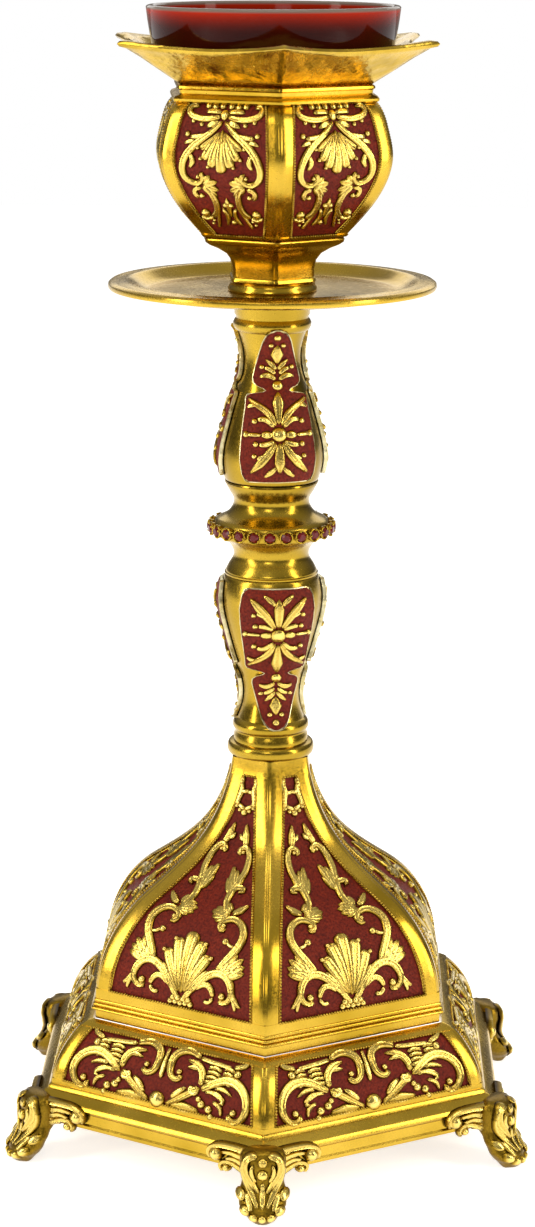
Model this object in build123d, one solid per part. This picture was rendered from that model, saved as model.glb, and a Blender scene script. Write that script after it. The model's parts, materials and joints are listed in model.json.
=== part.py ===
"""A standing vigil lamp: a red glass on a hexagonal bowl, drip pan, turned stem and domed six-sided base.

Millimetres, +Z up. The origin is on the lamp's axis, on the surface that the six feet stand on.
The base has a corner towards -Y. Hexagons are sized by their apothem, the distance from axis to face.
"""

from build123d import *
from math import cos, radians, sin, tan
import os

# driving dimensions
sides = 6
side_angle = 360 / sides
base_corner = cos(radians(30))  # apothem of a hexagon whose corners lie at radius 1
bowl_turn = 4.7  # the bowl is screwed down this many degrees past the base
stem_turn = 9.5  # and the stem's plaques this many

# plinth and skirt
plinth_radius = 87.0 * base_corner
plinth_bottom = 13.4
plinth_edge = 20.7
skirt_bottom = 24.2
skirt_top = 43.8
skirt_foot_radius = 81.2 * base_corner
skirt_neck_radius = 66.0 * base_corner
skirt_sill = 1.5  # bar under each skirt window
dome_sill = 3.5
sheet = 1.9  # wall of the plinth, skirt and dome
inlay_depth = 1.3  # pocket that an enamel panel lies in
inlay_thickness = 0.6

# reeded band and dome
dome_foot_radius = 65.0 * base_corner
dome_bottom = 43.8
dome_spring = 50.5  # where the wall starts to curve in
dome_top = 126.0
dome_top_radius = 14.3 * base_corner
dome_belly = 42.0  # radius of the convex lower sweep
dome_slope = 37.8  # lean of the wall where the belly ends, in degrees above level

# stem
rod_radius = 3.0
rod_clearance = 0.2
collar_top = 130.3
knop_centre = 202.3
knop_half = 15.5
knop_disc_radius = 18.2
pan_underside = 278.2
stem_wall = 2.0
plaque_thickness = 1.6
vase_length = 48.6
plaque_count = 3
stone_count = 24
stone_radius = 1.75

# drip pan, bowl and glass
pan_radius = 52.6
pan_sheet = 1.1
seat_ring_top = 282.5
bowl_foot_top = 298.0
bowl_neck_bottom = 341.6
bowl_neck_top = 345.4
bowl_neck_radius = 34.4 * base_corner
bowl_rim = 356.6
bowl_rim_radius = 54.6 * base_corner
bowl_sill = 1.2
bowl_wall = 1.5
bowl_window_top = 339.6
bowl_inlay_depth = 0.9
bowl_inlay_thickness = 0.4
glass_rim = 368.8
glass_rim_radius = 40.0
glass_wall = 2.2

screw_height = 16.2
rib = 4.2  # width of the skirt's bar on each side of a ridge, measured level
dome_rib = 5.2
bowl_rib = 4.6


# helpers
def upright(sketch):
    """A flat outline in (radius, height) stood up in the plane y = 0."""
    return Plane.XZ * sketch


def moved_in(edge, depth):
    """A curve beside this one, moved square to it towards the axis. Curves run upwards."""
    if edge.geom_type == GeomType.LINE:
        steps = 1
    else:
        steps = 7
    points = []
    for k in range(steps + 1):
        way = edge % (k / steps)
        points.append(edge @ (k / steps) + Vector(-way.Y, way.X) * depth)
    if steps == 1:
        return Line(*points).edge()
    return Spline(*points, tangents=[edge % 0, edge % 1]).edge()


def section_of(curves, depth=0.0):
    """The full-width section that lies inside one side's curves, given from bottom to top."""
    side = [moved_in(curve, depth) for curve in curves] if depth else curves
    foot, head = side[0] @ 0, side[-1] @ 1
    closing = Polyline((head.X, head.Y), (0, head.Y), (0, foot.Y), (foot.X, foot.Y))
    half = make_face(Wire([*side, *closing.edges()]))
    return half + mirror(half, Plane.YZ)


def hexagonal(section):
    """The solid whose every face has this section: three crossing prisms have it in common."""
    width = 130
    prism = extrude(upright(section), width, both=True)
    turned = [Rotation(0, 0, side_angle * k) * prism for k in range(3)]
    return turned[0] & turned[1] & turned[2]


def around(shape, count=sides, start=0.0):
    """Copies of a shape, evenly spaced about the axis."""
    return [Rotation(0, 0, start + 360 / count * k) * shape for k in range(count)]


def face_wedge(bar, low, high, reach=130):
    """The part of a +X face that lies between its two frame bars and two heights."""
    spread = (reach - bar / tan(radians(30))) * tan(radians(30))
    outline = Polyline((bar / tan(radians(30)), 0), (reach, -spread), (reach, spread), close=True)
    return Pos(0, 0, low) * extrude(make_face(outline), high - low)


def face_layer(curves, near, far):
    """A sheet that follows a +X face, from near to far below its surface."""
    outer, inner = section_of(curves, near), section_of(curves, far)
    return extrude(upright(outer), 70, both=True) - extrude(upright(inner), 70, both=True)


def inlaid(shell, curves, window, depth, thickness):
    """A shell with a pocket in each face, and the plates that lie on the pockets' floors."""
    pocket = window - extrude(upright(section_of(curves, depth)), 70, both=True)
    for cut in around(pocket):
        shell -= cut
    return shell, around(face_layer(curves, depth - thickness, depth) & window)


def solids_of(shape):
    return shape.solids() if hasattr(shape, "solids") else [shape]


def write(name, *shapes):
    pieces = [s for shape in shapes for s in solids_of(shape)]
    whole = pieces[0] if len(pieces) == 1 else Compound(children=pieces)
    export_step(whole, f"parts/{name}.step")


def write_each(name, shapes):
    for number, shape in enumerate(shapes, 1):
        write(f"{name}_{number}", shape)


# plinth and skirt
def plinth_section(inset=0.0):
    """Upright band and sloped ledge, kept as straight runs; the inset one is the hollow."""
    band, ledge = plinth_radius - inset, skirt_foot_radius - inset
    edges = Polyline(
        (band, plinth_bottom), (band, plinth_edge - 0.5 - inset), (band - 0.5, plinth_edge - inset),
        (ledge + 0.5, skirt_bottom - 0.5 - inset), (ledge, skirt_bottom),
    )
    return section_of(edges.edges())


def make_plinth():
    shell = hexagonal(plinth_section()) - hexagonal(plinth_section(sheet))
    for screw in around(screw_shank(), sides, 30):
        shell -= screw
    return shell


def skirt_curves():
    rise = skirt_top - skirt_bottom
    bulge = Spline(
        (skirt_foot_radius, skirt_bottom),
        (skirt_foot_radius - 2.1, skirt_bottom + rise * 0.42),
        (skirt_foot_radius - 5.0, skirt_bottom + rise * 0.67),
        (skirt_neck_radius, skirt_top),
        tangents=[(-0.08, 1), (-1, 0.15)],
    )
    return bulge.edges()


def make_skirt():
    curves = skirt_curves()
    shell = hexagonal(section_of(curves)) - hexagonal(section_of(curves, sheet))
    roof_hole = RegularPolygon(skirt_neck_radius - 5, sides, major_radius=False, rotation=30)
    shell -= Pos(0, 0, skirt_top - sheet - 1) * extrude(roof_hole, sheet + 2)
    window = face_wedge(rib, skirt_bottom + skirt_sill, skirt_top - 1.6)
    shell, panels = inlaid(shell, curves, window, inlay_depth, inlay_thickness)
    return shell, panels, curves, window


# dome
def dome_curves():
    """An ogee: a convex belly, a short straight lean and a concave sweep up to the collar."""
    wall = Line((dome_foot_radius, dome_bottom), (dome_foot_radius, dome_spring))
    belly = JernArc(wall @ 1, (0, 1), dome_belly, 90 - dome_slope)
    lean = Line(belly @ 1, (belly @ 1) + (belly % 1) * 2.2)
    sweep = Spline(
        lean @ 1, (26.6 * base_corner, dome_top - 27), (17.6 * base_corner, dome_top - 12.6),
        (dome_top_radius, dome_top), tangents=[belly % 1, (-0.12, 1)],
    )
    return [wall.edge(), belly.edge(), lean.edge(), sweep.edge()]


def make_dome():
    curves = dome_curves()
    hollow = hexagonal(section_of(curves, sheet))
    hollow -= Pos(0, 0, dome_top - sheet) * Cylinder(30, 20, align=(Align.CENTER, Align.CENTER, Align.MIN))
    shell = hexagonal(section_of(curves)) - hollow
    shell -= Pos(0, 0, dome_top - 5) * Cylinder(rod_radius + rod_clearance, 12)
    window = face_wedge(dome_rib, dome_spring + dome_sill, dome_top - 8)
    shell, panels = inlaid(shell, curves, window, inlay_depth, inlay_thickness)
    return shell, panels, curves, window


def make_reeded_band():
    """Three reeds round the dome's foot."""
    reed = 0.65
    inside = dome_foot_radius
    steps = [(inside, dome_spring + 0.2), (inside + 0.3, dome_spring + 0.2)]
    for k, bulge in enumerate((0.6, 1.0, 1.5)):
        z = dome_spring - 2 * reed * k
        steps += [(inside + bulge, z - 0.2), (inside + bulge, z - 2 * reed + 0.4)]
        steps += [(inside + bulge - 0.2, z - 2 * reed + 0.1)]
    steps += [(inside, steps[-1][1])]
    outline = make_face(Polyline(*steps, close=True))
    core = Rectangle(2 * inside, 20, align=(Align.CENTER, Align.MIN))
    full = outline + mirror(outline, Plane.YZ) + Pos(0, steps[-1][1]) * Rectangle(
        2 * inside, steps[0][1] - steps[-1][1], align=(Align.CENTER, Align.MIN)
    )
    return hexagonal(full) - hexagonal(Pos(0, 40) * core)


# filigree on the flat-sided tiers
def palmette(width, height):
    """A fan of lobes rising from its foot, in a face's own (across, up) plane."""
    fan = Sketch()
    for lean in (-62, -38, -18, 0, 18, 38, 62):
        long = height * (1 - 0.0035 * abs(lean)) * 0.62
        lobe = Pos(0, long / 2) * Ellipse(width * 0.11, long / 2 + 0.5)
        fan += Rotation(0, 0, lean) * lobe
    return fan


def scroll(points, thickness):
    """One S-shaped bar of even width along a spline."""
    return trace(Spline(*points), line_width=thickness)


def raised(curves, window, outline, low):
    """An outline on a +X face, turned into relief that follows the face and bites the enamel's top."""
    stood = Plane(origin=(0, 0, low), x_dir=(0, 1, 0), z_dir=(1, 0, 0)) * outline
    prism = extrude(stood, 100, both=True)
    return face_layer(curves, 0, inlay_depth - inlay_thickness) & prism & window


def both_sides(sketch):
    return sketch + mirror(sketch, Plane.YZ)


def dome_filigree(curves, window):
    low = dome_spring + dome_sill
    outline = Pos(0, 1.5) * palmette(30, 32)
    outline += both_sides(scroll([(1, 2), (10, 8), (19, 4.5), (15, 1.5)], 2.0))
    outline += both_sides(scroll([(14, 7.5), (18, 17), (12, 24), (8, 32), (4, 42)], 2.0))
    outline += Pos(0, 2) * Rectangle(6, 4)
    return around(raised(curves, window, outline, low))


def skirt_filigree(curves, window):
    low = skirt_bottom + skirt_sill
    outline = both_sides(scroll([(0.5, 1), (10, 8), (20, 12), (28, 10), (29, 3), (25, 2)], 2.6))
    outline += both_sides(scroll([(22, 12), (12, 15), (4, 13), (3, 8), (6, 7)], 2.2))
    outline += Pos(0, 3) * Circle(3)
    return around(raised(curves, window, outline, low))


# feet
def make_foot():
    """One cast foot at the +X corner: a paw below the corner and two wings along the plinth's sides."""
    corner = plinth_radius / base_corner
    side_view = make_face(
        Wire([
            *Polyline((corner - 7, plinth_bottom), (corner - 7, 20.4), (corner + 2.6, 20.4)).edges(),
            *Spline((corner + 2.6, 20.4), (corner + 4.8, 14.5), (corner + 5.2, 9.0), (corner + 8.6, 5.0),
                    (corner + 9.4, 2.2), (corner + 7.8, 0.0)).edges(),
            *Line((corner + 7.8, 0.0), (corner + 2.4, 0.0)).edges(),
            *Spline((corner + 2.4, 0.0), (corner - 0.2, 2.6), (corner - 1.6, 6.5), (corner - 3.4, 10.5),
                    (corner - 7, plinth_bottom)).edges(),
        ])
    )
    front_view = make_face(
        Wire([
            *Spline((0, 23), (7.2, 19.0), (6.4, 12.5), (7.9, 8.5), (6.2, 3.0), (3.6, 0.0)).edges(),
            *Line((3.6, 0.0), (-3.6, 0.0)).edges(),
            *Spline((-3.6, 0.0), (-6.2, 3.0), (-7.9, 8.5), (-6.4, 12.5), (-7.2, 19.0), (0, 23)).edges(),
        ])
    )
    leg = extrude(upright(side_view), 12, both=True)
    leg &= Pos(corner - 8, 0, 0) * extrude(Plane.YZ * front_view, 24)
    wing_length, wing_thickness = 20.0, 2.2
    wing_view = (
        Pos(wing_length - 3.6, 17.4) * Circle(3.6)
        + Pos(wing_length - 7.2, 13.2) * Circle(1.7)
        + make_face(Polyline(
            (0, 10.5), (0, 20.4), (wing_length - 4, 19.6), (wing_length - 7, 14.6), (5.5, 14.4), close=True
        ))
    )
    for hand in (1, -1):
        along = Vector(-cos(radians(60)), hand * sin(radians(60)), 0)
        outward = Vector(sin(radians(60)), hand * cos(radians(60)), 0)
        plane = Plane(origin=(corner, 0, 0), x_dir=along, z_dir=outward * hand)
        leg += extrude(plane * wing_view, wing_thickness * hand)
    inside = RegularPolygon(plinth_radius, sides, major_radius=False, rotation=0)
    return leg - Pos(0, 0, plinth_bottom) * extrude(inside, 12) - screw_shank()


def screw_shank():
    """The threaded part of a foot screw, level and square to the +X corner."""
    start = (plinth_radius - sheet) / base_corner - 1.5
    return Pos(start + 3.3, 0, screw_height) * Rotation(0, 90, 0) * Cylinder(1.25, 6.6)


def make_foot_screw():
    """A cheese-head screw from inside the plinth into the foot's knee, at the +X corner."""
    start = (plinth_radius - sheet) / base_corner - 1.5
    return Pos(start - 0.9, 0, screw_height) * Rotation(0, 90, 0) * Cylinder(2.4, 1.8) + screw_shank()


# stem
def revolved(section):
    return revolve(upright(section), Axis.Z)


def vase_edge(foot_z, way, grown=0.0):
    """The baluster's swelling side, from its broad foot to its neck; way is 1 upwards and -1 downwards."""
    return Spline(
        (15.2 + grown, foot_z),
        (16.6 + grown, foot_z + way * 6.5),
        (15.1 + grown, foot_z + way * 17),
        (11.9 + grown, foot_z + way * 28.5),
        (9.3 + grown, foot_z + way * 42.5),
        (10.9 + grown, foot_z + way * vase_length),
    )


def make_baluster(foot_z, head_z):
    """A hollow turned baluster with a beaded end, bored for the tie rod."""
    way = 1 if head_z > foot_z else -1
    vase = vase_edge(foot_z, way)
    neck_z = foot_z + way * vase_length
    bead = Polyline(
        (10.9, neck_z), (12.3, neck_z + way * 1.2), (12.5, neck_z + way * 3.2), (11.8, neck_z + way * 4.2),
        (11.8, neck_z + way * 5.0), (12.2, neck_z + way * 5.8), (12.2, head_z), (0, head_z), (0, foot_z),
        (15.2, foot_z),
    )
    body = revolved(make_face(Wire([*vase.edges(), *bead.edges()])))
    cavity = vase_edge(foot_z, way, -stem_wall)
    back = Polyline(
        (10.9 - stem_wall, neck_z), (10.9 - stem_wall, head_z - way * stem_wall),
        (0, head_z - way * stem_wall), (0, foot_z), (15.2 - stem_wall, foot_z),
    )
    hollow = revolved(make_face(Wire([*cavity.edges(), *back.edges()])))
    floor = Pos(0, 0, foot_z + way * stem_wall / 2) * Cylinder(15.2, stem_wall)
    bore = Pos(0, 0, (foot_z + head_z) / 2) * Cylinder(rod_radius + rod_clearance, abs(head_z - foot_z) + 4)
    return body - (hollow - floor) - bore


def plaque_view(foot_z, head_z, inset=0.0):
    """Front outline of a plaque: a broad panel, a pinched waist and a tapering tongue."""
    length = head_z - foot_z
    way = 1 if length > 0 else -1
    low = foot_z + way * inset
    high = head_z - way * inset
    side = [
        (0, low), (10.2 - inset, low), (12.0 - inset, foot_z + length * 0.06),
        (12.6 - inset, foot_z + length * 0.16), (11.8 - inset, foot_z + length * 0.33),
        (10.2 - inset, foot_z + length * 0.52), (9.2 - inset, foot_z + length * 0.585 - way * inset),
        (3.8 - inset, foot_z + length * 0.60 - way * inset * 0.5),
        (4.6 - inset, foot_z + length * 0.625 + way * inset * 0.5),
        (7.2 - inset, foot_z + length * 0.655 + way * inset), (7.3 - inset, foot_z + length * 0.72),
        (5.9 - inset, foot_z + length * 0.83), (4.2 - inset, foot_z + length * 0.95),
        (2.6 - inset * 0.6, high), (0, high),
    ]
    right = make_face(Polyline(*side, close=True))
    return both_sides(right)


def plaque_layer(foot_z, way, near, far):
    """A revolved sheet between two distances outside a baluster's vase."""
    inner, outer = vase_edge(foot_z, way, near), vase_edge(foot_z, way, far)
    head, foot = Line(inner @ 1, outer @ 1), Line(outer @ 0, inner @ 0)
    return revolved(make_face(Wire([*inner.edges(), *head.edges(), *outer.edges(), *foot.edges()])))


def make_plaques(foot_z, way):
    """Brass plates, their enamel and their ornaments, each set three times round the stem."""
    def facing(sketch):
        stood = Plane(origin=(0, 0, 0), x_dir=(0, 1, 0), z_dir=(1, 0, 0)) * sketch
        return Rotation(0, 0, -90) * (extrude(stood, 40, both=True) & front)

    low, high = foot_z + way * 1.8, foot_z + way * (vase_length - 0.6)
    front = Pos(0, 0, foot_z) * Box(50, 100, 200, align=(Align.MIN, Align.CENTER, Align.CENTER))
    whole = facing(plaque_view(low, high))
    inner = facing(plaque_view(low, high, 0.8))
    full = plaque_layer(foot_z, way, 0.1, plaque_thickness)
    face = plaque_layer(foot_z, way, plaque_thickness - 0.5, plaque_thickness + 0.6)
    inlay = plaque_layer(foot_z, way, plaque_thickness - 0.5, plaque_thickness - 0.1)
    proud = plaque_layer(foot_z, way, plaque_thickness - 0.1, plaque_thickness + 0.9)
    plate = (full & whole) - (face & inner)
    enamel = inlay & inner
    length = high - low
    middle = low + length * 0.31
    spray = Pos(0, middle) * Circle(2.0)
    spray += Pos(0, middle) * Rectangle(21, 1.6)
    for lean in (25, 50, 130, 155):
        arm = Pos(0, 4.5) * Ellipse(1.0, 5.2)
        spray += both_sides(Pos(0, middle) * Rotation(0, 0, lean) * arm)
    spray += Pos(0, low + length * 0.5) * Rectangle(1.6, abs(length) * 0.72)
    spray += both_sides(Pos(2.2, low + length * 0.72) * Ellipse(2.0, 0.9))
    ornament = proud & facing(spray)
    group = lambda shape: around(shape, plaque_count, stem_turn)
    return group(plate), group(enamel), group(ornament)


def make_knop():
    """The turned knop between the two balusters, with a disc that carries the stone chain."""
    upper = Spline((15.2, knop_half), (13.7, 12.6), (12.1, 9.2), (13.6, 5.6), (17.0, 2.9))
    lower = mirror(upper, Plane.XZ)
    rim = Polyline((17.0, 2.9), (knop_disc_radius, 1.9), (knop_disc_radius, -1.9), (17.0, -2.9))
    back = Polyline((15.2, knop_half), (0, knop_half), (0, -knop_half), (15.2, -knop_half))
    half = make_face(Wire([*upper.edges(), *rim.edges(), *lower.edges(), *back.edges()]))
    bore = Cylinder(rod_radius + rod_clearance, 4 * knop_half)
    hollow = Cylinder(9.6, 2 * (knop_half - stem_wall))
    return Pos(0, 0, knop_centre) * (revolved(half) - bore - hollow)


def make_stone_chain():
    """Claw collets round the knop's disc, and the faceted stones in them."""
    depth = 1.9
    centre = Vector(knop_disc_radius + depth / 2 + 0.05, 0, knop_centre)
    cup = Cylinder(stone_radius + 0.45, depth) - Pos(0, 0, 0.5) * Cylinder(stone_radius + 0.05, depth)
    link = Pos(0, stone_radius + 0.6, -0.6) * Box(0.9, 0.6, 0.6)
    collet = Pos(*centre) * Rotation(0, 90, 0) * (cup + link)
    girdle, table = stone_radius - 0.02, 1.05
    stone_half = make_face(Polyline(
        (0, -0.42), (girdle, 0.1), (girdle, 0.4), (table, 1.0), (0, 1.0), close=True
    ))
    stone = Pos(*centre) * Rotation(0, 90, 0) * revolve(upright(stone_half), Axis.Z)
    return around(collet, stone_count), around(stone, stone_count)


def make_collar():
    bulge = ThreePointArc((12.6, dome_top), (14.3, 128.0), (12.9, collar_top))
    back = Polyline((12.9, collar_top), (6, collar_top), (6, dome_top), (12.6, dome_top))
    ring = revolved(make_face(Wire([*bulge.edges(), *back.edges()])))
    return ring


def make_tie_rod():
    low, high = 113.5, 292.0
    return Pos(0, 0, (low + high) / 2) * Cylinder(rod_radius, high - low)


def make_nut(bottom):
    blank = extrude(RegularPolygon(5.0, sides, major_radius=False), 4.8)
    return Pos(0, 0, bottom) * (blank - Pos(0, 0, 2.4) * Cylinder(rod_radius, 6))


def make_washer():
    ring = Cylinder(7.0, 1.2) - Cylinder(rod_radius + rod_clearance, 3)
    return Pos(0, 0, dome_top - sheet - 0.6) * ring


# pan, bowl and glass
def make_pan():
    """A spun dish: flat floor, short wall and a broad rim with a turned-down edge."""
    floor = pan_underside + pan_sheet
    outline = Polyline(
        (rod_radius + rod_clearance, pan_underside), (40.0, pan_underside), (43.6, pan_underside + 2.6),
        (50.2, pan_underside + 2.3), (51.4, pan_underside + 1.2), (pan_radius, pan_underside + 1.6),
        (pan_radius, pan_underside + 2.8), (50.4, pan_underside + 3.6), (44.2, pan_underside + 3.8),
        (39.6, floor), (rod_radius + rod_clearance, floor), close=True,
    )
    return revolved(make_face(outline))


def make_seat_ring():
    bottom = pan_underside + pan_sheet
    outline = Polyline(
        (rod_radius + rod_clearance, bottom), (14.4, bottom), (14.6, bottom + 1.0), (13.6, bottom + 2.0),
        (13.2, seat_ring_top), (rod_radius + rod_clearance, seat_ring_top), close=True,
    )
    return revolved(make_face(outline))


def bowl_foot_curves():
    edge = Spline(
        (12.9 * base_corner, seat_ring_top), (15.2 * base_corner, 287.8), (18.0 * base_corner, 291.6),
        (22.9 * base_corner, 295.2), (24.2 * base_corner, bowl_foot_top),
    )
    return edge.edges()


def bowl_curves():
    """The swelling side of the bowl and its upright neck, as one curve."""
    edge = Spline(
        (25.8 * base_corner, bowl_foot_top), (34.2 * base_corner, 306.8), (39.6 * base_corner, 315.0),
        (41.8 * base_corner, 323.6), (40.2 * base_corner, 331.5), (37.0 * base_corner, 338.6),
        (bowl_neck_radius, bowl_neck_bottom), (bowl_neck_radius, bowl_neck_top),
    )
    return edge.edges()


def make_bowl():
    curves = bowl_curves()
    shell = hexagonal(section_of(curves)) - hexagonal(section_of(curves, bowl_wall))
    for radius, z in ((20.6, bowl_foot_top), (bowl_neck_radius - bowl_wall, bowl_neck_top)):
        hole = RegularPolygon(radius, sides, major_radius=False, rotation=30)
        shell -= Pos(0, 0, z - 2.5) * extrude(hole, 5)
    window = face_wedge(bowl_rib, bowl_foot_top + bowl_sill, bowl_window_top)
    shell, panels = inlaid(shell, curves, window, bowl_inlay_depth, bowl_inlay_thickness)
    turn = Rotation(0, 0, bowl_turn)
    ornament = bowl_filigree(curves, window)
    return turn * shell, [turn * panel for panel in panels], [turn * piece for piece in ornament]


def bowl_filigree(curves, window):
    low = bowl_foot_top + bowl_sill + 2
    outline = Pos(0, 26) * Rotation(0, 0, 180) * palmette(15, 20)
    outline += both_sides(scroll([(0.3, 31), (8, 27), (9.5, 19), (7, 11), (3.5, 3)], 1.6))
    outline += both_sides(scroll([(0.3, 31.5), (5, 33), (9, 36)], 1.6))
    outline += Pos(0, 31) * Circle(1.8)
    stood = Plane(origin=(0, 0, low), x_dir=(0, 1, 0), z_dir=(1, 0, 0)) * outline
    layer = face_layer(curves, 0, bowl_inlay_depth - bowl_inlay_thickness)
    return around(layer & extrude(stood, 100, both=True) & window)


def make_bowl_foot():
    curves = bowl_foot_curves()
    floor = seat_ring_top + bowl_wall
    mouth = RegularPolygon((curves[-1] @ 1).X - bowl_wall, sides, major_radius=False, rotation=30)
    hollow = hexagonal(section_of(curves, bowl_wall))
    hollow -= Pos(0, 0, floor) * Cylinder(40, 10, align=(Align.CENTER, Align.CENTER, Align.MAX))
    hollow += Pos(0, 0, bowl_foot_top - 0.5) * extrude(mouth, 1)
    shell = hexagonal(section_of(curves)) - hollow
    shell -= Pos(0, 0, seat_ring_top) * Cylinder(rod_radius + rod_clearance, 6)
    return Rotation(0, 0, bowl_turn) * shell


def flare_section(neck, rise, overrun):
    """The flared rim's outside, or with a narrower neck and a rise, the space inside it."""
    edges = Polyline(
        (neck, bowl_neck_top - overrun), (neck, bowl_neck_top + 0.4 + rise),
        (bowl_rim_radius, bowl_rim - 0.5 + rise), (bowl_rim_radius, bowl_rim + overrun + rise),
    )
    return section_of(edges.edges())


def make_flare():
    outside = hexagonal(flare_section(bowl_neck_radius, 0, 0))
    inside = hexagonal(flare_section(bowl_neck_radius - bowl_wall, 1.25, 1))
    return Rotation(0, 0, bowl_turn) * (outside - inside)


def make_glass():
    """A stepped votive glass that hangs by its shoulder in the flared rim."""
    r, t = glass_rim_radius, glass_wall
    outer = [(r, glass_rim - 0.6), (37.5, 353.0), (36.2, 351.9), (28.0, 347.4), (27.4, 345.4),
             (21.4, 307.5), (18.6, 304.0)]
    inner = [(18.2, 307.0), (19.4, 308.6), (25.0, 346.2), (26.8, 348.8), (34.6, 353.4), (35.4, 354.8),
             (r - t, glass_rim - 0.6)]
    lip = Polyline(
        (r, glass_rim - 0.6), (r - 0.5, glass_rim), (r - t + 0.5, glass_rim), (r - t, glass_rim - 0.6)
    )
    half = make_face(Wire([
        *Polyline(*outer, (0, 304.0), (0, 307.0), *inner).edges(),
        *lip.edges(),
    ]))
    return revolved(half)


# build
os.makedirs("parts", exist_ok=True)

write("plinth_moulding", make_plinth())
skirt, skirt_panels, skirt_outline, skirt_window = make_skirt()
write("skirt_shell", skirt)
write_each("skirt_enamel", skirt_panels)
write("skirt_filigree", *skirt_filigree(skirt_outline, skirt_window))

dome, dome_panels, dome_outline, dome_window = make_dome()
write("dome_shell", dome)
write_each("dome_enamel", dome_panels)
write("dome_filigree", *dome_filigree(dome_outline, dome_window))
write("reeded_band", make_reeded_band())

write_each("foot", around(make_foot(), sides, 30))
write("foot_screws", *around(make_foot_screw(), sides, 30))

write("base_collar", make_collar())
lower_foot, upper_foot = knop_centre - knop_half, knop_centre + knop_half
write("lower_stem", make_baluster(lower_foot, collar_top))
write("upper_stem", make_baluster(upper_foot, pan_underside))
for name, foot_z, way in (("lower", lower_foot, -1), ("upper", upper_foot, 1)):
    plates, enamels, ornaments = make_plaques(foot_z, way)
    write_each(f"{name}_plaque", plates)
    write(f"{name}_plaque_enamel", *enamels)
    write(f"{name}_plaque_ornaments", *ornaments)
write("knop", make_knop())
collets, stones = make_stone_chain()
write("stone_collets", *collets)
write("stones", *stones)
write("tie_rod", make_tie_rod())
write("base_nut", make_nut(dome_top - sheet - 1.2 - 4.8))
write("base_washer", make_washer())

write("drip_pan", make_pan())
write("bowl_seat_ring", make_seat_ring())
write("bowl_foot", make_bowl_foot())
write("bowl_nut", make_nut(seat_ring_top + bowl_wall))
bowl, bowl_panels, bowl_relief = make_bowl()
write("bowl_body", bowl)
write_each("bowl_enamel", bowl_panels)
write("bowl_filigree", *bowl_relief)
write("bowl_flare", make_flare())
write("glass_cup", make_glass())
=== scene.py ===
# Vigil lamp for an altar: gilt hexagonal stand with red enamel panels and a lift-out ruby glass.
# The dictionaries are in millimetres; meshes are made in metres.
import json
import math

import bmesh
import bpy
import numpy as np
from mathutils import Matrix, Vector

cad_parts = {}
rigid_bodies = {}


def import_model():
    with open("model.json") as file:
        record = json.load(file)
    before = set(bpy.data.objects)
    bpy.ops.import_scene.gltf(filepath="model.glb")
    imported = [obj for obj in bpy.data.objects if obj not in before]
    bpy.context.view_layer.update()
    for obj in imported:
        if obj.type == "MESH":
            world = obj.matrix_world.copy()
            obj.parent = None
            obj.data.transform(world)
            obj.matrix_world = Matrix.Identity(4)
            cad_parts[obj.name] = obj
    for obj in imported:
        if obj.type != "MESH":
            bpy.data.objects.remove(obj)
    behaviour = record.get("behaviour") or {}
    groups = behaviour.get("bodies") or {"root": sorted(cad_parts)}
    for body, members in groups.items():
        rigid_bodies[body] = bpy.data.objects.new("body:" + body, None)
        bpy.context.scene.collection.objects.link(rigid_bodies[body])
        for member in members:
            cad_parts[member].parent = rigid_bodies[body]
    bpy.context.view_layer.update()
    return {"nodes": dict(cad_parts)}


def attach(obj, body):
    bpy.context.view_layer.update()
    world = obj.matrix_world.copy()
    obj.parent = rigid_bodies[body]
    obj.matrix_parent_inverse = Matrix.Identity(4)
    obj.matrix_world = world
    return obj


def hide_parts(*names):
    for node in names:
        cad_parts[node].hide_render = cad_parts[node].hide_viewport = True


mm = 0.001
sixth = math.pi / 3
faceRatio = math.cos(math.pi / 6)  # apothem of a hexagon whose corners are at 1
halfSide = math.tan(math.pi / 6)  # half a side, for an apothem of 1

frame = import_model()
nodes = frame["nodes"]
print("frame loaded,", len(nodes), "nodes")


# Camera

view = {
    "distance": 956.85, "height": 403.1, "turn": 1.23, "pitch": 13.53, "roll": 0.21,
    "aside": -0.071, "lens": 87.98, "sensor": 36.0,
}


def makeCamera():
    lens = bpy.data.cameras.new("viewCamera")
    lens.lens = view["lens"]
    lens.sensor_width = view["sensor"]
    lens.clip_end = 20
    camera = bpy.data.objects.new("viewCamera", lens)
    bpy.context.scene.collection.objects.link(camera)
    around = math.radians(view["turn"])
    far = view["distance"] * mm
    place = Matrix.Translation((far * math.sin(around), -far * math.cos(around), view["height"] * mm))
    heading = Matrix.Rotation(around - math.radians(view["aside"]), 4, "Z")
    tilt = Matrix.Rotation(math.radians(90 - view["pitch"]), 4, "X")
    camera.matrix_world = place @ heading @ tilt @ Matrix.Rotation(math.radians(view["roll"]), 4, "Z")
    bpy.context.scene.camera = camera


makeCamera()


# Curves

def evenly(path, count):
    step = np.linalg.norm(np.diff(path, axis=0), axis=1)
    run = np.concatenate([[0], np.cumsum(step)])
    at = np.linspace(0, run[-1], count)
    return np.stack([np.interp(at, run, path[:, k]) for k in range(path.shape[1])], 1)


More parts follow.
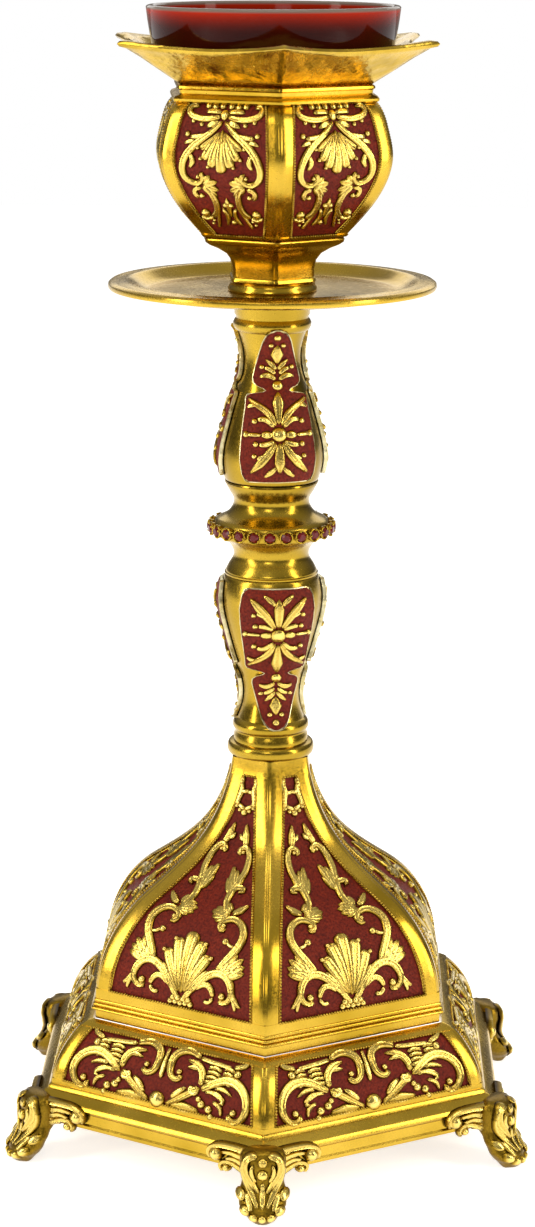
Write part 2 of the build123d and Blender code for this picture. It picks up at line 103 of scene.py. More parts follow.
def smooth(points, count, startWay=None, endWay=None):
    # evenly spaced points on a cubic curve through the given ones
    p = np.array(points, float)
    last = len(p) - 1
    if last == 1:
        return evenly(p, count)
    gap = np.linalg.norm(np.diff(p, axis=0), axis=1)
    system = np.zeros((last + 1, last + 1))
    right = np.zeros_like(p)
    for row, way in ((0, startWay), (last, endWay)):
        near = 1 if row == 0 else last - 1
        system[row, row] = 1 if way else 2
        if way:
            right[row] = np.array(way, float) / np.linalg.norm(way)
        else:
            system[row, near] = 1
            sign = 1 if row == 0 else -1
            right[row] = 3 * sign * (p[near] - p[row]) / gap[0 if row == 0 else -1]
    for k in range(1, last):
        system[k, k - 1] = gap[k]
        system[k, k] = 2 * (gap[k - 1] + gap[k])
        system[k, k + 1] = gap[k - 1]
        right[k] = 3 * ((p[k] - p[k - 1]) * gap[k] / gap[k - 1] + (p[k + 1] - p[k]) * gap[k - 1] / gap[k])
    way = np.linalg.solve(system, right)
    fine = []
    s = np.linspace(0, 1, 17)[:, None]
    for k in range(last):
        fine.append(
            (2 * s**3 - 3 * s**2 + 1) * p[k] + (s**3 - 2 * s**2 + s) * gap[k] * way[k]
            + (-2 * s**3 + 3 * s**2) * p[k + 1] + (s**3 - s**2) * gap[k] * way[k + 1]
        )
    return evenly(np.vstack([fine[0]] + [part[1:] for part in fine[1:]]), count)


def squareTo(path):
    # unit vectors square to a path of (radius, height) points, pointing outwards
    way = np.gradient(path, axis=0)
    way /= np.linalg.norm(way, axis=1)[:, None]
    return np.stack([way[:, 1], -way[:, 0]], 1)


# Meshes

class Shape:
    def __init__(self):
        self.points = []
        self.faces = []
        self.rise = []
        self.count = 0

    def add(self, points, faces, rise=None):
        self.points.append(points)
        self.faces.extend([tuple(k + self.count for k in face) for face in faces])
        self.rise.append(np.ones(len(points)) if rise is None else rise)
        self.count += len(points)

    def grid(self, rows, wrapRows=False, wrapColumns=False, rise=None):
        rows = np.asarray(rows, float)
        n, m = rows.shape[:2]
        faces = []
        for i in range(n if wrapRows else n - 1):
            for j in range(m if wrapColumns else m - 1):
                a, b = i * m + j, i * m + (j + 1) % m
                c, d = (i + 1) % n * m + (j + 1) % m, (i + 1) % n * m + j
                faces.append((a, b, c, d))
        self.add(rows.reshape(-1, 3), faces, None if rise is None else np.asarray(rise).ravel())

    def solid(self, rows, rise=None):
        # rows of closed sections, with a cap at each end
        rows = np.asarray(rows, float)
        n, m = rows.shape[:2]
        start = self.count
        self.grid(rows, wrapColumns=True, rise=rise)
        self.faces.append(tuple(start + k for k in range(m)))
        self.faces.append(tuple(start + (n - 1) * m + k for k in reversed(range(m))))

    def merged(self, scale=1.0):
        # doubles merged and faces turned outwards
        weld = 1e-4
        mesh = bpy.data.meshes.new("merging")
        mesh.from_pydata((np.vstack(self.points) * scale).tolist(), [], self.faces)
        rise = mesh.attributes.new("rise", "FLOAT", "POINT")
        rise.data.foreach_set("value", np.concatenate(self.rise).astype(np.float32))
        work = bmesh.new()
        work.from_mesh(mesh)
        bmesh.ops.remove_doubles(work, verts=work.verts, dist=weld * scale)
        bmesh.ops.dissolve_degenerate(work, edges=work.edges, dist=weld * scale * 0.1)
        bmesh.ops.recalc_face_normals(work, faces=work.faces)
        work.to_mesh(mesh)
        work.free()
        return mesh

    def laid(self, placers):
        # the finished motif, repeated through each placer
        mesh = self.merged()
        flat = np.zeros(len(mesh.vertices) * 3)
        mesh.vertices.foreach_get("co", flat)
        rise = np.zeros(len(mesh.vertices), np.float32)
        mesh.attributes["rise"].data.foreach_get("value", rise)
        faces = [tuple(face.vertices) for face in mesh.polygons]
        bpy.data.meshes.remove(mesh)
        copies = Shape()
        for place in placers:
            copies.add(place(flat.reshape(-1, 3)), faces, rise)
        return copies


def addPiece(name, shape, material, replaced=(), body="stand", sharp=38, repair=True):
    if repair:
        mesh = shape.merged(mm)
    else:
        mesh = bpy.data.meshes.new(name)
        mesh.from_pydata((np.vstack(shape.points) * mm).tolist(), [], shape.faces)
        rise = mesh.attributes.new("rise", "FLOAT", "POINT")
        rise.data.foreach_set("value", np.concatenate(shape.rise).astype(np.float32))
    mesh.name = name
    mesh.shade_smooth()
    mesh.set_sharp_from_angle(angle=math.radians(sharp))
    mesh.materials.append(material)
    piece = bpy.data.objects.new(name, mesh)
    bpy.context.scene.collection.objects.link(piece)
    settle(piece, replaced, body)
    return piece


def settle(piece, replaced=(), body="stand"):
    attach(piece, body)
    if replaced:
        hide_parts(*replaced)


def numbered(name):
    return [f"{name}_{k + 1}" for k in range(6)]


# Shader and node graphs

class Value:
    # a socket that sums and products can be written with
    def __init__(self, graph, socket):
        self.graph = graph
        self.socket = socket

    def maths(self, operation, first, second):
        return self.graph.node("ShaderNodeMath", {"operation": operation}, {0: first, 1: second})

    def __add__(self, other):
        return self.maths("ADD", self, other)

    def __sub__(self, other):
        return self.maths("SUBTRACT", self, other)

    def __mul__(self, other):
        return self.maths("MULTIPLY", self, other)

    def __pow__(self, other):
        return self.maths("POWER", self, other)

    __radd__ = __add__
    __rmul__ = __mul__


class Graph:
    def __init__(self, tree):
        self.tree = tree

    def node(self, kind, settings=None, sockets=None, output=0):
        made = self.tree.nodes.new(kind)
        for name, value in (settings or {}).items():
            if name == "stops":
                ramp = made.color_ramp
                while len(ramp.elements) < len(value):
                    ramp.elements.new(0.5)
                for element, (place, colour) in zip(ramp.elements, value):
                    element.position = place
                    element.color = colour
            else:
                setattr(made, name, value)
        for name, value in (sockets or {}).items():
            if isinstance(value, Value):
                self.tree.links.new(value.socket, made.inputs[name])
            else:
                made.inputs[name].default_value = value
        return Value(self, made.outputs[output]) if made.outputs else None

    def noise(self, coords, scale, detail=3.0, roughness=0.55):
        return self.node("ShaderNodeTexNoise", {}, {
            "Vector": coords, "Scale": scale, "Detail": detail, "Roughness": roughness,
        })

    def blend(self, factor, first, second):
        return self.node("ShaderNodeMix", {"data_type": "RGBA"}, {0: factor, 6: first, 7: second}, 2)

    def ramp(self, value, stops):
        return self.node("ShaderNodeValToRGB", {"stops": stops}, {"Fac": value})

    def span(self, value, low, high, toLow=0.0, toHigh=1.0):
        return self.node("ShaderNodeMapRange", {"clamp": True}, {
            "Value": value, "From Min": low, "From Max": high, "To Min": toLow, "To Max": toHigh,
        })


def colour(red, green, blue):
    # display values, 0 to 255, to linear light
    def linear(value):
        value /= 255
        return value / 12.92 if value <= 0.04045 else ((value + 0.055) / 1.055) ** 2.4
    return (linear(red), linear(green), linear(blue), 1.0)


def newMaterial(name):
    material = bpy.data.materials.new(name)
    material.use_nodes = True
    material.node_tree.nodes.clear()
    graph = Graph(material.node_tree)
    coords = graph.node("ShaderNodeTexCoord", output=3)
    return material, graph, coords


def shade(graph, sockets):
    shader = graph.node("ShaderNodeBsdfPrincipled", {}, sockets)
    graph.node("ShaderNodeOutputMaterial", {}, {"Surface": shader})


gilt = {
    "polished": {"light": (198, 163, 60), "dark": (166, 134, 36), "rough": (0.17, 0.30), "grain": 0.010,
                 "grainScale": 900, "dent": 0.06, "dentScale": 70},
    "turned": {"light": (178, 147, 50), "dark": (142, 115, 30), "rough": (0.16, 0.30), "grain": 0.008,
               "grainScale": 1100, "dent": 0.02, "dentScale": 60},
    "cast": {"light": (202, 167, 66), "dark": (131, 103, 26), "rough": (0.22, 0.42), "grain": 0.10,
             "grainScale": 1300, "dent": 0.16, "dentScale": 420},
    "hammered": {"light": (198, 164, 62), "dark": (162, 132, 38), "rough": (0.14, 0.28), "grain": 0.012,
                 "grainScale": 900, "dent": 0.55, "dentScale": 190},
    "pale": {"light": (222, 214, 176), "dark": (178, 164, 112), "rough": (0.24, 0.42), "grain": 0.10,
             "grainScale": 1300, "dent": 0.2, "dentScale": 420},
}


def makeGilt(name, look):
    material, graph, coords = newMaterial(name)
    broad = graph.noise(coords, look["dentScale"] * 0.5, 2.0)
    fine = graph.noise(coords, look["grainScale"], 2.0, 0.6)
    dents = graph.noise(coords, look["dentScale"], 2.0, 0.5)
    tone = graph.span(broad, 0.35, 0.65)
    base = graph.blend(tone, colour(*look["dark"]), colour(*look["light"]))
    low, high = look["rough"]
    rough = graph.span(fine + broad, 0.75, 1.25, low, high)
    relief = dents * look["dent"] + fine * look["grain"]
    bump = graph.node("ShaderNodeBump", {}, {"Strength": 0.6, "Distance": 0.0012, "Height": relief})
    shade(graph, {
        "Base Color": base, "Metallic": 1.0, "Roughness": rough, "Normal": bump,
    })
    return material


# relief colours: painted shade at the roots, a shaded mid tone on the slopes, painted highlight on the
# crests; and a roughness range
reliefShadingLook = {"crest": (228, 202, 110), "slope": (156, 124, 34), "root": (50, 34, 6), "rough": (0.2, 0.38)}


def makeRelief():
    # painted shade and highlight: the stored "rise", 0 at a root and 1 on a crest, paints the roots dark as
    # shade and the crests pale as highlight
    material, graph, coords = newMaterial("giltReliefPaintedShade")
    rise = graph.node("ShaderNodeAttribute", {"attribute_name": "rise"}, output=2)
    grain = graph.noise(coords, 1500, 2.0, 0.6)
    uneven = rise + grain * 0.30 - 0.15
    base = graph.ramp(uneven, [
        (0.1, colour(*reliefShadingLook["root"])), (0.55, colour(*reliefShadingLook["slope"])),
        (0.95, colour(*reliefShadingLook["crest"])),
    ])
    rough = graph.span(uneven, 0.2, 1.0, reliefShadingLook["rough"][1], reliefShadingLook["rough"][0])
    bump = graph.node("ShaderNodeBump", {}, {"Strength": 0.5, "Distance": 0.0002, "Height": grain})
    shade(graph, {"Base Color": base, "Metallic": 1.0, "Roughness": rough, "Normal": bump})
    return material


enamelLook = {"body": (104, 26, 11), "deep": (66, 13, 5), "bright": (130, 40, 15), "grainScale": 1250}


def makeEnamel():
    material, graph, coords = newMaterial("brickEnamel")
    grain = graph.noise(coords, enamelLook["grainScale"], 3.0, 0.65)
    patches = graph.noise(coords, 90, 2.0)
    base = graph.ramp(grain, [
        (0.30, colour(*enamelLook["deep"])), (0.50, colour(*enamelLook["body"])),
        (0.72, colour(*enamelLook["bright"])),
    ])
    base = graph.blend(graph.span(patches, 0.3, 0.7, 0.0, 0.35), base, colour(*enamelLook["deep"]))
    rough = graph.span(grain, 0.3, 0.7, 0.62, 0.48)
    bump = graph.node("ShaderNodeBump", {}, {"Strength": 0.7, "Distance": 0.00035, "Height": grain})
    shade(graph, {
        "Base Color": base, "Roughness": rough, "Normal": bump, "Specular IOR Level": 0.14,
    })
    return material


def makeGlassMaterial():
    # almost opaque ruby with a painted glow: a narrow band below the lip is painted bright orange-red,
    # standing in for light through the glass, and the lip itself is painted pale as a highlight
    material, graph, coords = newMaterial("rubyGlass")
    cloud = graph.noise(coords, 60, 2.0)
    height = graph.node("ShaderNodeSeparateXYZ", {}, {"Vector": coords}, output=2)
    rimGlow = graph.span(height, glass["bandLow"] * mm, glass["bandHigh"] * mm) ** 2.2
    deep = graph.blend(cloud, colour(*glass["deep"]), colour(*glass["body"]))
    base = graph.blend(rimGlow, deep, colour(*glass["glow"]))
    # the top 0.7 mm of the lip is painted pale, a painted highlight along the rim
    lip = graph.span(height, glass["bandHigh"] * mm, (glass["bandHigh"] + 0.7) * mm)
    base = graph.blend(lip, base, colour(*glass["lip"]))
    shade(graph, {
        "Base Color": base, "Roughness": 0.07, "IOR": 1.4, "Specular IOR Level": 0.12,
    })
    return material


def makeStoneMaterial():
    material, graph, coords = newMaterial("redStone")
    fleck = graph.noise(coords, 500, 1.0)
    base = graph.blend(fleck, colour(64, 3, 5), colour(112, 10, 10))
    shade(graph, {
        "Base Color": base, "Roughness": 0.12, "IOR": 1.5, "Specular IOR Level": 0.25,
        "Coat Weight": 0.12, "Coat Roughness": 0.04,
    })
    return material


def makeSteel():
    material, graph, coords = newMaterial("platedSteel")
    scratch = graph.noise(coords, 700, 3.0)
    base = graph.blend(scratch, colour(150, 150, 146), colour(186, 186, 180))
    rough = graph.span(scratch, 0.3, 0.7, 0.28, 0.42)
    bump = graph.node("ShaderNodeBump", {}, {"Strength": 0.3, "Distance": 0.0002, "Height": scratch})
    shade(graph, {"Base Color": base, "Metallic": 1.0, "Roughness": rough, "Normal": bump})
    return material


# Six-sided tiers

class Tier:
    # a profile of (apothem, height) swept level along six sides; sides are numbered anticlockwise
    def __init__(self, profile, turn=0.0):
        self.profile = np.array(profile)
        step = np.linalg.norm(np.diff(self.profile, axis=0), axis=1)
        self.run = np.concatenate([[0], np.cumsum(step)])
        self.out = squareTo(self.profile)
        self.turn = math.radians(turn)

    def read(self, v, table):
        return np.interp(v, self.run, table)

    def up(self, height):
        # distance up the face at this height
        return float(np.interp(height, self.profile[:, 1], self.run))

    def spot(self, v, h=0.0):
        apothem = self.read(v, self.profile[:, 0]) + h * self.read(v, self.out[:, 0])
        height = self.read(v, self.profile[:, 1]) + h * self.read(v, self.out[:, 1])
        return apothem, height

    def placer(self, side, low=0.0):
        angle = side * sixth + self.turn

        def place(uvh):
            apothem, height = self.spot(uvh[:, 1] + low, uvh[:, 2])
            x = apothem * math.cos(angle) - uvh[:, 0] * math.sin(angle)
            y = apothem * math.sin(angle) + uvh[:, 0] * math.cos(angle)
            return np.stack([x, y, height], 1)
        return place

    def placers(self, low=0.0):
        return [self.placer(side, low) for side in range(6)]


ringPoints = {"side": 9, "corner": 5}


def hexRing(apothem, height, rounding, turn):
    # one level outline with rounded corners
    ring = []
    straight = (apothem - rounding) * halfSide
    for side in range(6):
        angle = side * sixth + turn
        for across in np.linspace(-straight, straight, ringPoints["side"]):
            ring.append((
                apothem * math.cos(angle) - across * math.sin(angle),
                apothem * math.sin(angle) + across * math.cos(angle), height,
            ))
        corner = angle + sixth / 2
        centre = (apothem - rounding) / faceRatio
        for k in range(1, ringPoints["corner"] + 1):
            bend = angle + sixth * k / (ringPoints["corner"] + 1)
            ring.append((
                centre * math.cos(corner) + rounding * math.cos(bend),
                centre * math.sin(corner) + rounding * math.sin(bend), height,
            ))
    return ring


def hexWall(shape, outline, rounding, turn=0.0):
    # a closed ring wall from a closed outline of (apothem, height)
    rows = [hexRing(a, z, min(rounding, a * 0.5), turn) for a, z in outline]
    shape.grid(rows, wrapRows=True, wrapColumns=True)


def lathe(shape, outline, steps=96):
    # a closed outline of (radius, height) spun about the axis
    turns = np.linspace(0, 2 * math.pi, steps, endpoint=False)
    rows = [[(r * math.cos(a), r * math.sin(a), z) for a in turns] for r, z in outline]
    shape.grid(rows, wrapRows=True, wrapColumns=True)


def cornerBars(shape, tier, look, low, high, steps):
    # flat frame bars that straddle each ridge, with a fine groove beside the panel
    half = [
        (0.0, -look["soften"] * 0.5), (0.05, -look["soften"] * 0.34), (0.12, -look["soften"] * 0.1),
        (0.2, 0.0), (0.5, 0.0), (0.9, 0.0), (0.925, -look["groove"]), (0.95, 0.0), (0.985, 0.0),
        (1.0, -0.1), (1.0, -look["depth"]),
    ]
    section = [(-part, h) for part, h in reversed(half[1:])] + half
    section += [(0.55, -look["depth"] - 0.5), (0.0, -look["depth"] - 0.6), (-0.55, -look["depth"] - 0.5)]
    for side in range(6):
        angle = side * sixth + tier.turn
        rows = []
        for v in np.linspace(low, high, steps):
            row = []
            for part, h in section:
                apothem, height = tier.spot(v, h)
                face = angle if part <= 0 else angle + sixth
                ridge = apothem * halfSide
                a = ridge - abs(part) * look["bar"]
                a = a if part <= 0 else -a
                row.append((
                    apothem * math.cos(face) - a * math.sin(face),
                    apothem * math.sin(face) + a * math.cos(face), height,
                ))
            rows.append(row)
        shape.solid(rows)


plate = {"margin": 0.25, "columns": 13}


def panelPlates(shape, tier, look, rows):
    # thin plates between the bars, one on each side
    margin, top = plate["margin"], look["enamelTop"]
    along = np.linspace(tier.up(look["sillTop"]) - margin, tier.up(look["headBottom"]) + margin, rows)
    for side in range(6):
        place = tier.placer(side)
        sheet = []
        for v in along:
            reach = tier.spot(v)[0] * halfSide - look["bar"] + margin
            across = np.linspace(-reach, reach, plate["columns"])
            front = [(u, v, top) for u in across]
            back = [(u, v, top - look["enamelThick"]) for u in reversed(across)]
            sheet.append(place(np.array(front + back)))
        shape.solid(sheet)


# Raised ornament, drawn as strokes in (across, up, off the surface)

fullness = 1.22  # how much wider every stroke is than its written half widths
leafFullness = 1.3
sink = 0.35  # how far ornament runs into the surface under it
acrossStroke = np.array([-1.0, -0.97, -0.8, -0.5, -0.2, 0.2, 0.5, 0.8, 0.97, 1.0])


def stroke(shape, points, widths, height=1.2, dip=0.0, curl=None, mirrored=True):
    # a tapering bar with a domed section; a dip runs a groove down its middle
    if curl:
        points = points + curlOn(points, *curl)
    length = sum(math.dist(a, b) for a, b in zip(points, points[1:]))
    steps = int(min(34, max(9, length / 0.75)))
    path = smooth(points, steps)
    way = np.gradient(path, axis=0)
    way /= np.maximum(np.linalg.norm(way, axis=1), 1e-9)[:, None]
    aside = np.stack([-way[:, 1], way[:, 0]], 1)
    at = np.linspace(0, 1, steps)
    half = np.interp(at, np.linspace(0, 1, len(widths)), widths) * fullness
    ends = np.minimum(at, 1 - at) * length
    cap = np.sqrt(1 - (1 - np.clip(ends / np.maximum(half, 0.2), 0, 1)) ** 2)
    half = half * np.maximum(cap, 0.03)
    top = height * np.sqrt(np.clip(half / max(max(widths), 0.3), 0.08, 1)) * np.maximum(cap, 0.15) ** 0.5
    dome = (1 - np.abs(acrossStroke) ** 2.6) ** 0.55
    dome = dome * (1 - dip * np.exp(-((acrossStroke / 0.34) ** 2)))
    for hand in ((1, -1) if mirrored else (1,)):
        rows = []
        rises = []
        for k in range(steps):
            across = path[k] + aside[k] * half[k] * acrossStroke[:, None]
            lift = dome * top[k]
            lift[0] = lift[-1] = -sink
            rows.append(np.column_stack([across[:, 0] * hand, across[:, 1], lift]))
            # rise, low at the sides and high on the crest, is painted by the relief gilt as shade at the
            # sides and highlight on the crest
            rises.append(np.clip(dome * (0.55 + 0.45 * top[k] / height), 0, 1))
        shape.solid(rows, rises)


def curlOn(points, side, radius):
    # more points that wind a stroke's end inwards; side is 1 to the left
    (x0, y0), (x1, y1) = points[-2], points[-1]
    heading = math.atan2(y1 - y0, x1 - x0)
    centre = (x1 + radius * math.cos(heading + side * math.pi / 2),
              y1 + radius * math.sin(heading + side * math.pi / 2))
    start = heading - side * math.pi / 2
    wound = []
    turns, count = 0.85, 7
    for k in range(1, count + 1):
        bend = start + side * 2 * math.pi * turns * k / count
        reach = radius * (1 - 0.66 * k / count)
        wound.append((centre[0] + reach * math.cos(bend), centre[1] + reach * math.sin(bend)))
    return wound


def knob(shape, u, v, radius, height, mirrored=True):
    rings = 5
    for hand in ((1, -1) if mirrored and abs(u) > 1e-6 else (1,)):
        rows = []
        rises = []
        for k in range(rings + 1):
            lean = math.pi / 2 * k / rings
            reach = radius * math.cos(lean) + 0.01
            lift = height * math.sin(lean) if k else -sink
            rows.append([
                (hand * u + reach * math.cos(a), v + reach * math.sin(a), lift)
                for a in np.linspace(0, 2 * math.pi, 12, endpoint=False)
            ])
            # rise, low at the knob's foot and high on its top, is painted by the relief gilt as shade below
            # and highlight on top
            rises.append([0.25 + 0.75 * math.sin(lean)] * 12)
        shape.solid(rows, rises)


def fan(shape, root, tips, widths, height=1.1, dip=0.25):
    # leaf lobes that spread from one root
    leaf = [half * leafFullness for half in widths]
    for k, (u, v) in enumerate(tips):
        middle = ((root[0] + u) / 2, (root[1] + v) / 2)
        stroke(shape, [root, middle, (u, v)], leaf, height * (1 - 0.06 * (k % 2)), dip)


print("helpers ready")


# The six-sided tiers, with the frame's own outlines

skirt = {
    "foot": 81.2, "low": 24.2, "neck": 66.0, "high": 43.8, "bar": 4.3, "sillTop": 25.8,
    "headBottom": 42.2, "motifLow": 24.5, "enamelTop": -0.7, "enamelThick": 0.6, "soften": 0.8,
    "groove": 0.2, "depth": 1.1, "wall": 1.9, "backing": 1.32, "beadGap": 0.98, "bead": 0.44,
    "bulge": [(2.1, 0.42), (5.0, 0.67)],  # inwards from the foot, share of the rise
    "footWay": (-0.08, 1), "neckWay": (-1, 0.15),
}
dome = {
    "foot": 65.0, "low": 43.8, "spring": 50.5, "belly": 42.0, "slope": 37.8, "high": 126.0, "neck": 14.3,
    "bar": 5.3, "sillTop": 54.0, "headBottom": 120.6, "motifLow": 54.0, "enamelTop": -0.7, "enamelThick": 0.6,
    "soften": 0.9, "groove": 0.2, "depth": 1.1, "wall": 1.9, "backing": 1.32, "barLow": 49.0,
    "barHigh": 122.4, "beadGap": 1.0, "bead": 0.45, "straight": 2.2, "neckWay": (-0.12, 1),
    "sweep": [(26.6, 27.0), (17.6, 12.6)],  # corner radius, distance below the top
}
bowl = {
    "turn": 4.7, "bar": 4.7, "sillTop": 298.7, "headBottom": 340.0, "motifLow": 300.4, "enamelTop": -0.55,
    "enamelThick": 0.32, "soften": 0.9, "groove": 0.2, "depth": 0.8, "beadGap": 0.86, "bead": 0.38,
    "side": [(25.8, 298.0), (34.2, 306.8), (39.6, 315.0), (41.8, 323.6), (40.2, 331.5), (37.0, 338.6),
             (34.4, 341.6), (34.4, 345.4)],
    "wall": 1.4, "backing": 0.9, "barLow": 298.1, "barHigh": 341.4,
    "neckOutside": [(36.4, 339.9), (36.9, 340.3), (37.0, 341.0), (36.4, 341.7), (35.0, 342.1), (34.6, 342.6),
                    (34.8, 343.6), (35.5, 344.1), (35.4, 344.8), (34.4, 345.4)],
    "neckInside": [(28.35, 345.4), (28.35, 341.6), (29.6, 339.9)],
}


def skirtProfile():
    foot, rise = skirt["foot"] * faceRatio, skirt["high"] - skirt["low"]
    bulge = [(foot - inwards, skirt["low"] + rise * share) for inwards, share in skirt["bulge"]]
    path = [(foot, skirt["low"])] + bulge + [(skirt["neck"] * faceRatio, skirt["high"])]
    return smooth(path, 50, skirt["footWay"], skirt["neckWay"])


def domeProfile():
    foot, turned = dome["foot"] * faceRatio, math.radians(90 - dome["slope"])
    belly = [
        (foot - dome["belly"] * (1 - math.cos(b)), dome["spring"] + dome["belly"] * math.sin(b))
        for b in np.linspace(0, turned, 34)
    ]
    way = (-math.sin(turned), math.cos(turned))
    lean = (belly[-1][0] + dome["straight"] * way[0], belly[-1][1] + dome["straight"] * way[1])
    sweep = smooth([
        lean, *[(corner * faceRatio, dome["high"] - below) for corner, below in dome["sweep"]],
        (dome["neck"] * faceRatio, dome["high"]),
    ], 50, way, dome["neckWay"])
    return np.vstack([[(foot, dome["low"]), (foot, dome["low"] + 3.5)], belly, sweep])


skirtTier = Tier(skirtProfile())
domeTier = Tier(domeProfile())
bowlTier = Tier(smooth([(r * faceRatio, z) for r, z in bowl["side"]], 70), bowl["turn"])


def bandOutline(tier, low, high, outer, inner, count=8):
    # closed outline of a band of the tier between two heights
    at = np.linspace(tier.up(low), tier.up(high), count)
    return [tier.spot(v, outer) for v in at] + [tier.spot(v, inner) for v in at[::-1]]


def beadPath(tier, look):
    # closed paths round the six windows, as (points, edges) in metres
    points, edges = [], []
    inset, rise = 0.15, 0.05
    foot, head = tier.up(look["sillTop"]), tier.up(look["headBottom"])
    for side in range(6):
        def reach(v):
            return tier.spot(v)[0] * halfSide - look["bar"] - inset
        up = np.linspace(foot, head, 60)
        loop = [(reach(v), v, rise) for v in up] + [(-reach(v), v, rise) for v in up[::-1]]
        first = len(points)
        points += (tier.placer(side)(np.array(loop)) * mm).tolist()
        edges += [(first + k, first + (k + 1) % len(loop)) for k in range(len(loop))]
    return points, edges


# Geometry Nodes

def newTree(name, inputs):
    tree = bpy.data.node_groups.new(name, "GeometryNodeTree")
    tree.interface.new_socket("Geometry", in_out="INPUT", socket_type="NodeSocketGeometry")
    tree.interface.new_socket("Geometry", in_out="OUTPUT", socket_type="NodeSocketGeometry")
    for label, kind in inputs:
        tree.interface.new_socket(label, in_out="INPUT", socket_type=kind)
    start = tree.nodes.new("NodeGroupInput")
    graph = Graph(tree)
    labels = ["Geometry"] + [label for label, kind in inputs]
    return tree, graph, {label: Value(graph, start.outputs[label]) for label in labels}


def endTree(graph, geometry, material):
    whole = graph.node("GeometryNodeRealizeInstances", {}, {"Geometry": geometry})
    whole = graph.node("GeometryNodeSetShadeSmooth", {}, {"Geometry": whole, "Shade Smooth": True})
    whole = graph.node("GeometryNodeSetMaterial", {}, {"Geometry": whole, "Material": material})
    end = graph.tree.nodes.new("NodeGroupOutput")
    graph.tree.links.new(whole.socket, end.inputs["Geometry"])


def grown(name, tree, values, replaced=(), base=None):
    # runs a tree on a base mesh and keeps the plain result
    holder = bpy.data.objects.new(name + "Source", base or bpy.data.meshes.new(name + "Base"))
    bpy.context.scene.collection.objects.link(holder)
    modifier = holder.modifiers.new("grow", "NODES")
    modifier.node_group = tree
    for item in tree.interface.items_tree:
        if item.in_out == "INPUT" and item.name in values:
            modifier[item.identifier] = values[item.name]
    graphState = bpy.context.evaluated_depsgraph_get()
    mesh = bpy.data.meshes.new_from_object(holder.evaluated_get(graphState))
    mesh.name = name
    bpy.data.objects.remove(holder)
    piece = bpy.data.objects.new(name, mesh)
    bpy.context.scene.collection.objects.link(piece)
    settle(piece, replaced)
    return piece


def makeBeadTree(material):
    tree, graph, given = newTree("beadRow", [("Spacing", "NodeSocketFloat"),
                                             ("Bead radius", "NodeSocketFloat")])
    curve = graph.node("GeometryNodeMeshToCurve", {}, {"Mesh": given["Geometry"]})
    spaced = graph.node("GeometryNodeResampleCurve", {"mode": "LENGTH"}, {
        "Curve": curve, "Length": given["Spacing"],
    })
    bead = graph.node("GeometryNodeMeshIcoSphere", {}, {"Radius": given["Bead radius"], "Subdivisions": 2})
    row = graph.node("GeometryNodeInstanceOnPoints", {}, {"Points": spaced, "Instance": bead})
    endTree(graph, row, material)
    return tree


def makeBeads(name, tree, tier, look):
    points, edges = beadPath(tier, look)
    base = bpy.data.meshes.new(name + "Paths")
    base.from_pydata(points, edges, [])
    grown(name, tree, {"Spacing": look["beadGap"] * mm, "Bead radius": look["bead"] * mm}, base=base)


# Materials

# ruby colours: "glow" is the painted glow of the band from bandLow to bandHigh, and "lip" is the painted
# highlight on the rim
glass = {
    "deep": (34, 5, 2), "body": (58, 10, 4), "glow": (154, 30, 4), "lip": (112, 98, 88),
    "bandLow": 361.0, "bandHigh": 367.4,
}
polishedGilt = makeGilt("polishedGilt", gilt["polished"])
turnedGilt = makeGilt("turnedGilt", gilt["turned"])
castGilt = makeGilt("castGilt", gilt["cast"])
hammeredGilt = makeGilt("hammeredGilt", gilt["hammered"])
paleGilt = makeGilt("paleGilt", gilt["pale"])
reliefGilt = makeRelief()
brickEnamel = makeEnamel()
rubyGlass = makeGlassMaterial()
redStone = makeStoneMaterial()
platedSteel = makeSteel()
beadTree = makeBeadTree(castGilt)
print("materials made")


# Plinth, skirt and dome

plinth = {
    "rounding": 1.2, "wall": 1.9, "corner": 87.0,
    "face": [(87.0, 13.4), (87.3, 14.0), (87.3, 14.6), (86.6, 15.2), (86.4, 18.2), (87.0, 18.7), (87.3, 19.5),
             (86.9, 20.4), (86.2, 20.9), (83.4, 22.6), (82.6, 22.8), (82.4, 23.6), (81.6, 24.2)],
}


def makePlinth():
    outer = [(r * faceRatio, z) for r, z in plinth["face"]]
    low, high = outer[0][1], outer[-1][1]
    inner = [(outer[-1][0] - 2.4, high), (84.4 * faceRatio, 19.5), (84.8 * faceRatio, low)]
    shape = Shape()
    hexWall(shape, outer + inner, plinth["rounding"])
    addPiece("plinth", shape, polishedGilt, ["plinth_moulding"])


def makeSkirt():
    shape = Shape()
    low, high = skirt["sillTop"], skirt["headBottom"]
    cornerBars(shape, skirtTier, skirt, 0.0, skirtTier.run[-1] - 0.05, 26)
    for foot, head in ((skirt["low"], low), (high, skirt["high"])):
        hexWall(shape, bandOutline(skirtTier, foot, head, 0.1, -skirt["wall"], 5), 1.0)
    hexWall(shape, bandOutline(skirtTier, low - 1, high + 0.6, -skirt["backing"], -skirt["wall"], 20), 1.0)
    addPiece("skirtFrame", shape, polishedGilt, ["skirt_shell"])
    shape = Shape()
    panelPlates(shape, skirtTier, skirt, 24)
    addPiece("skirtEnamel", shape, brickEnamel, numbered("skirt_enamel"))
    makeBeads("skirtBeads", beadTree, skirtTier, skirt)


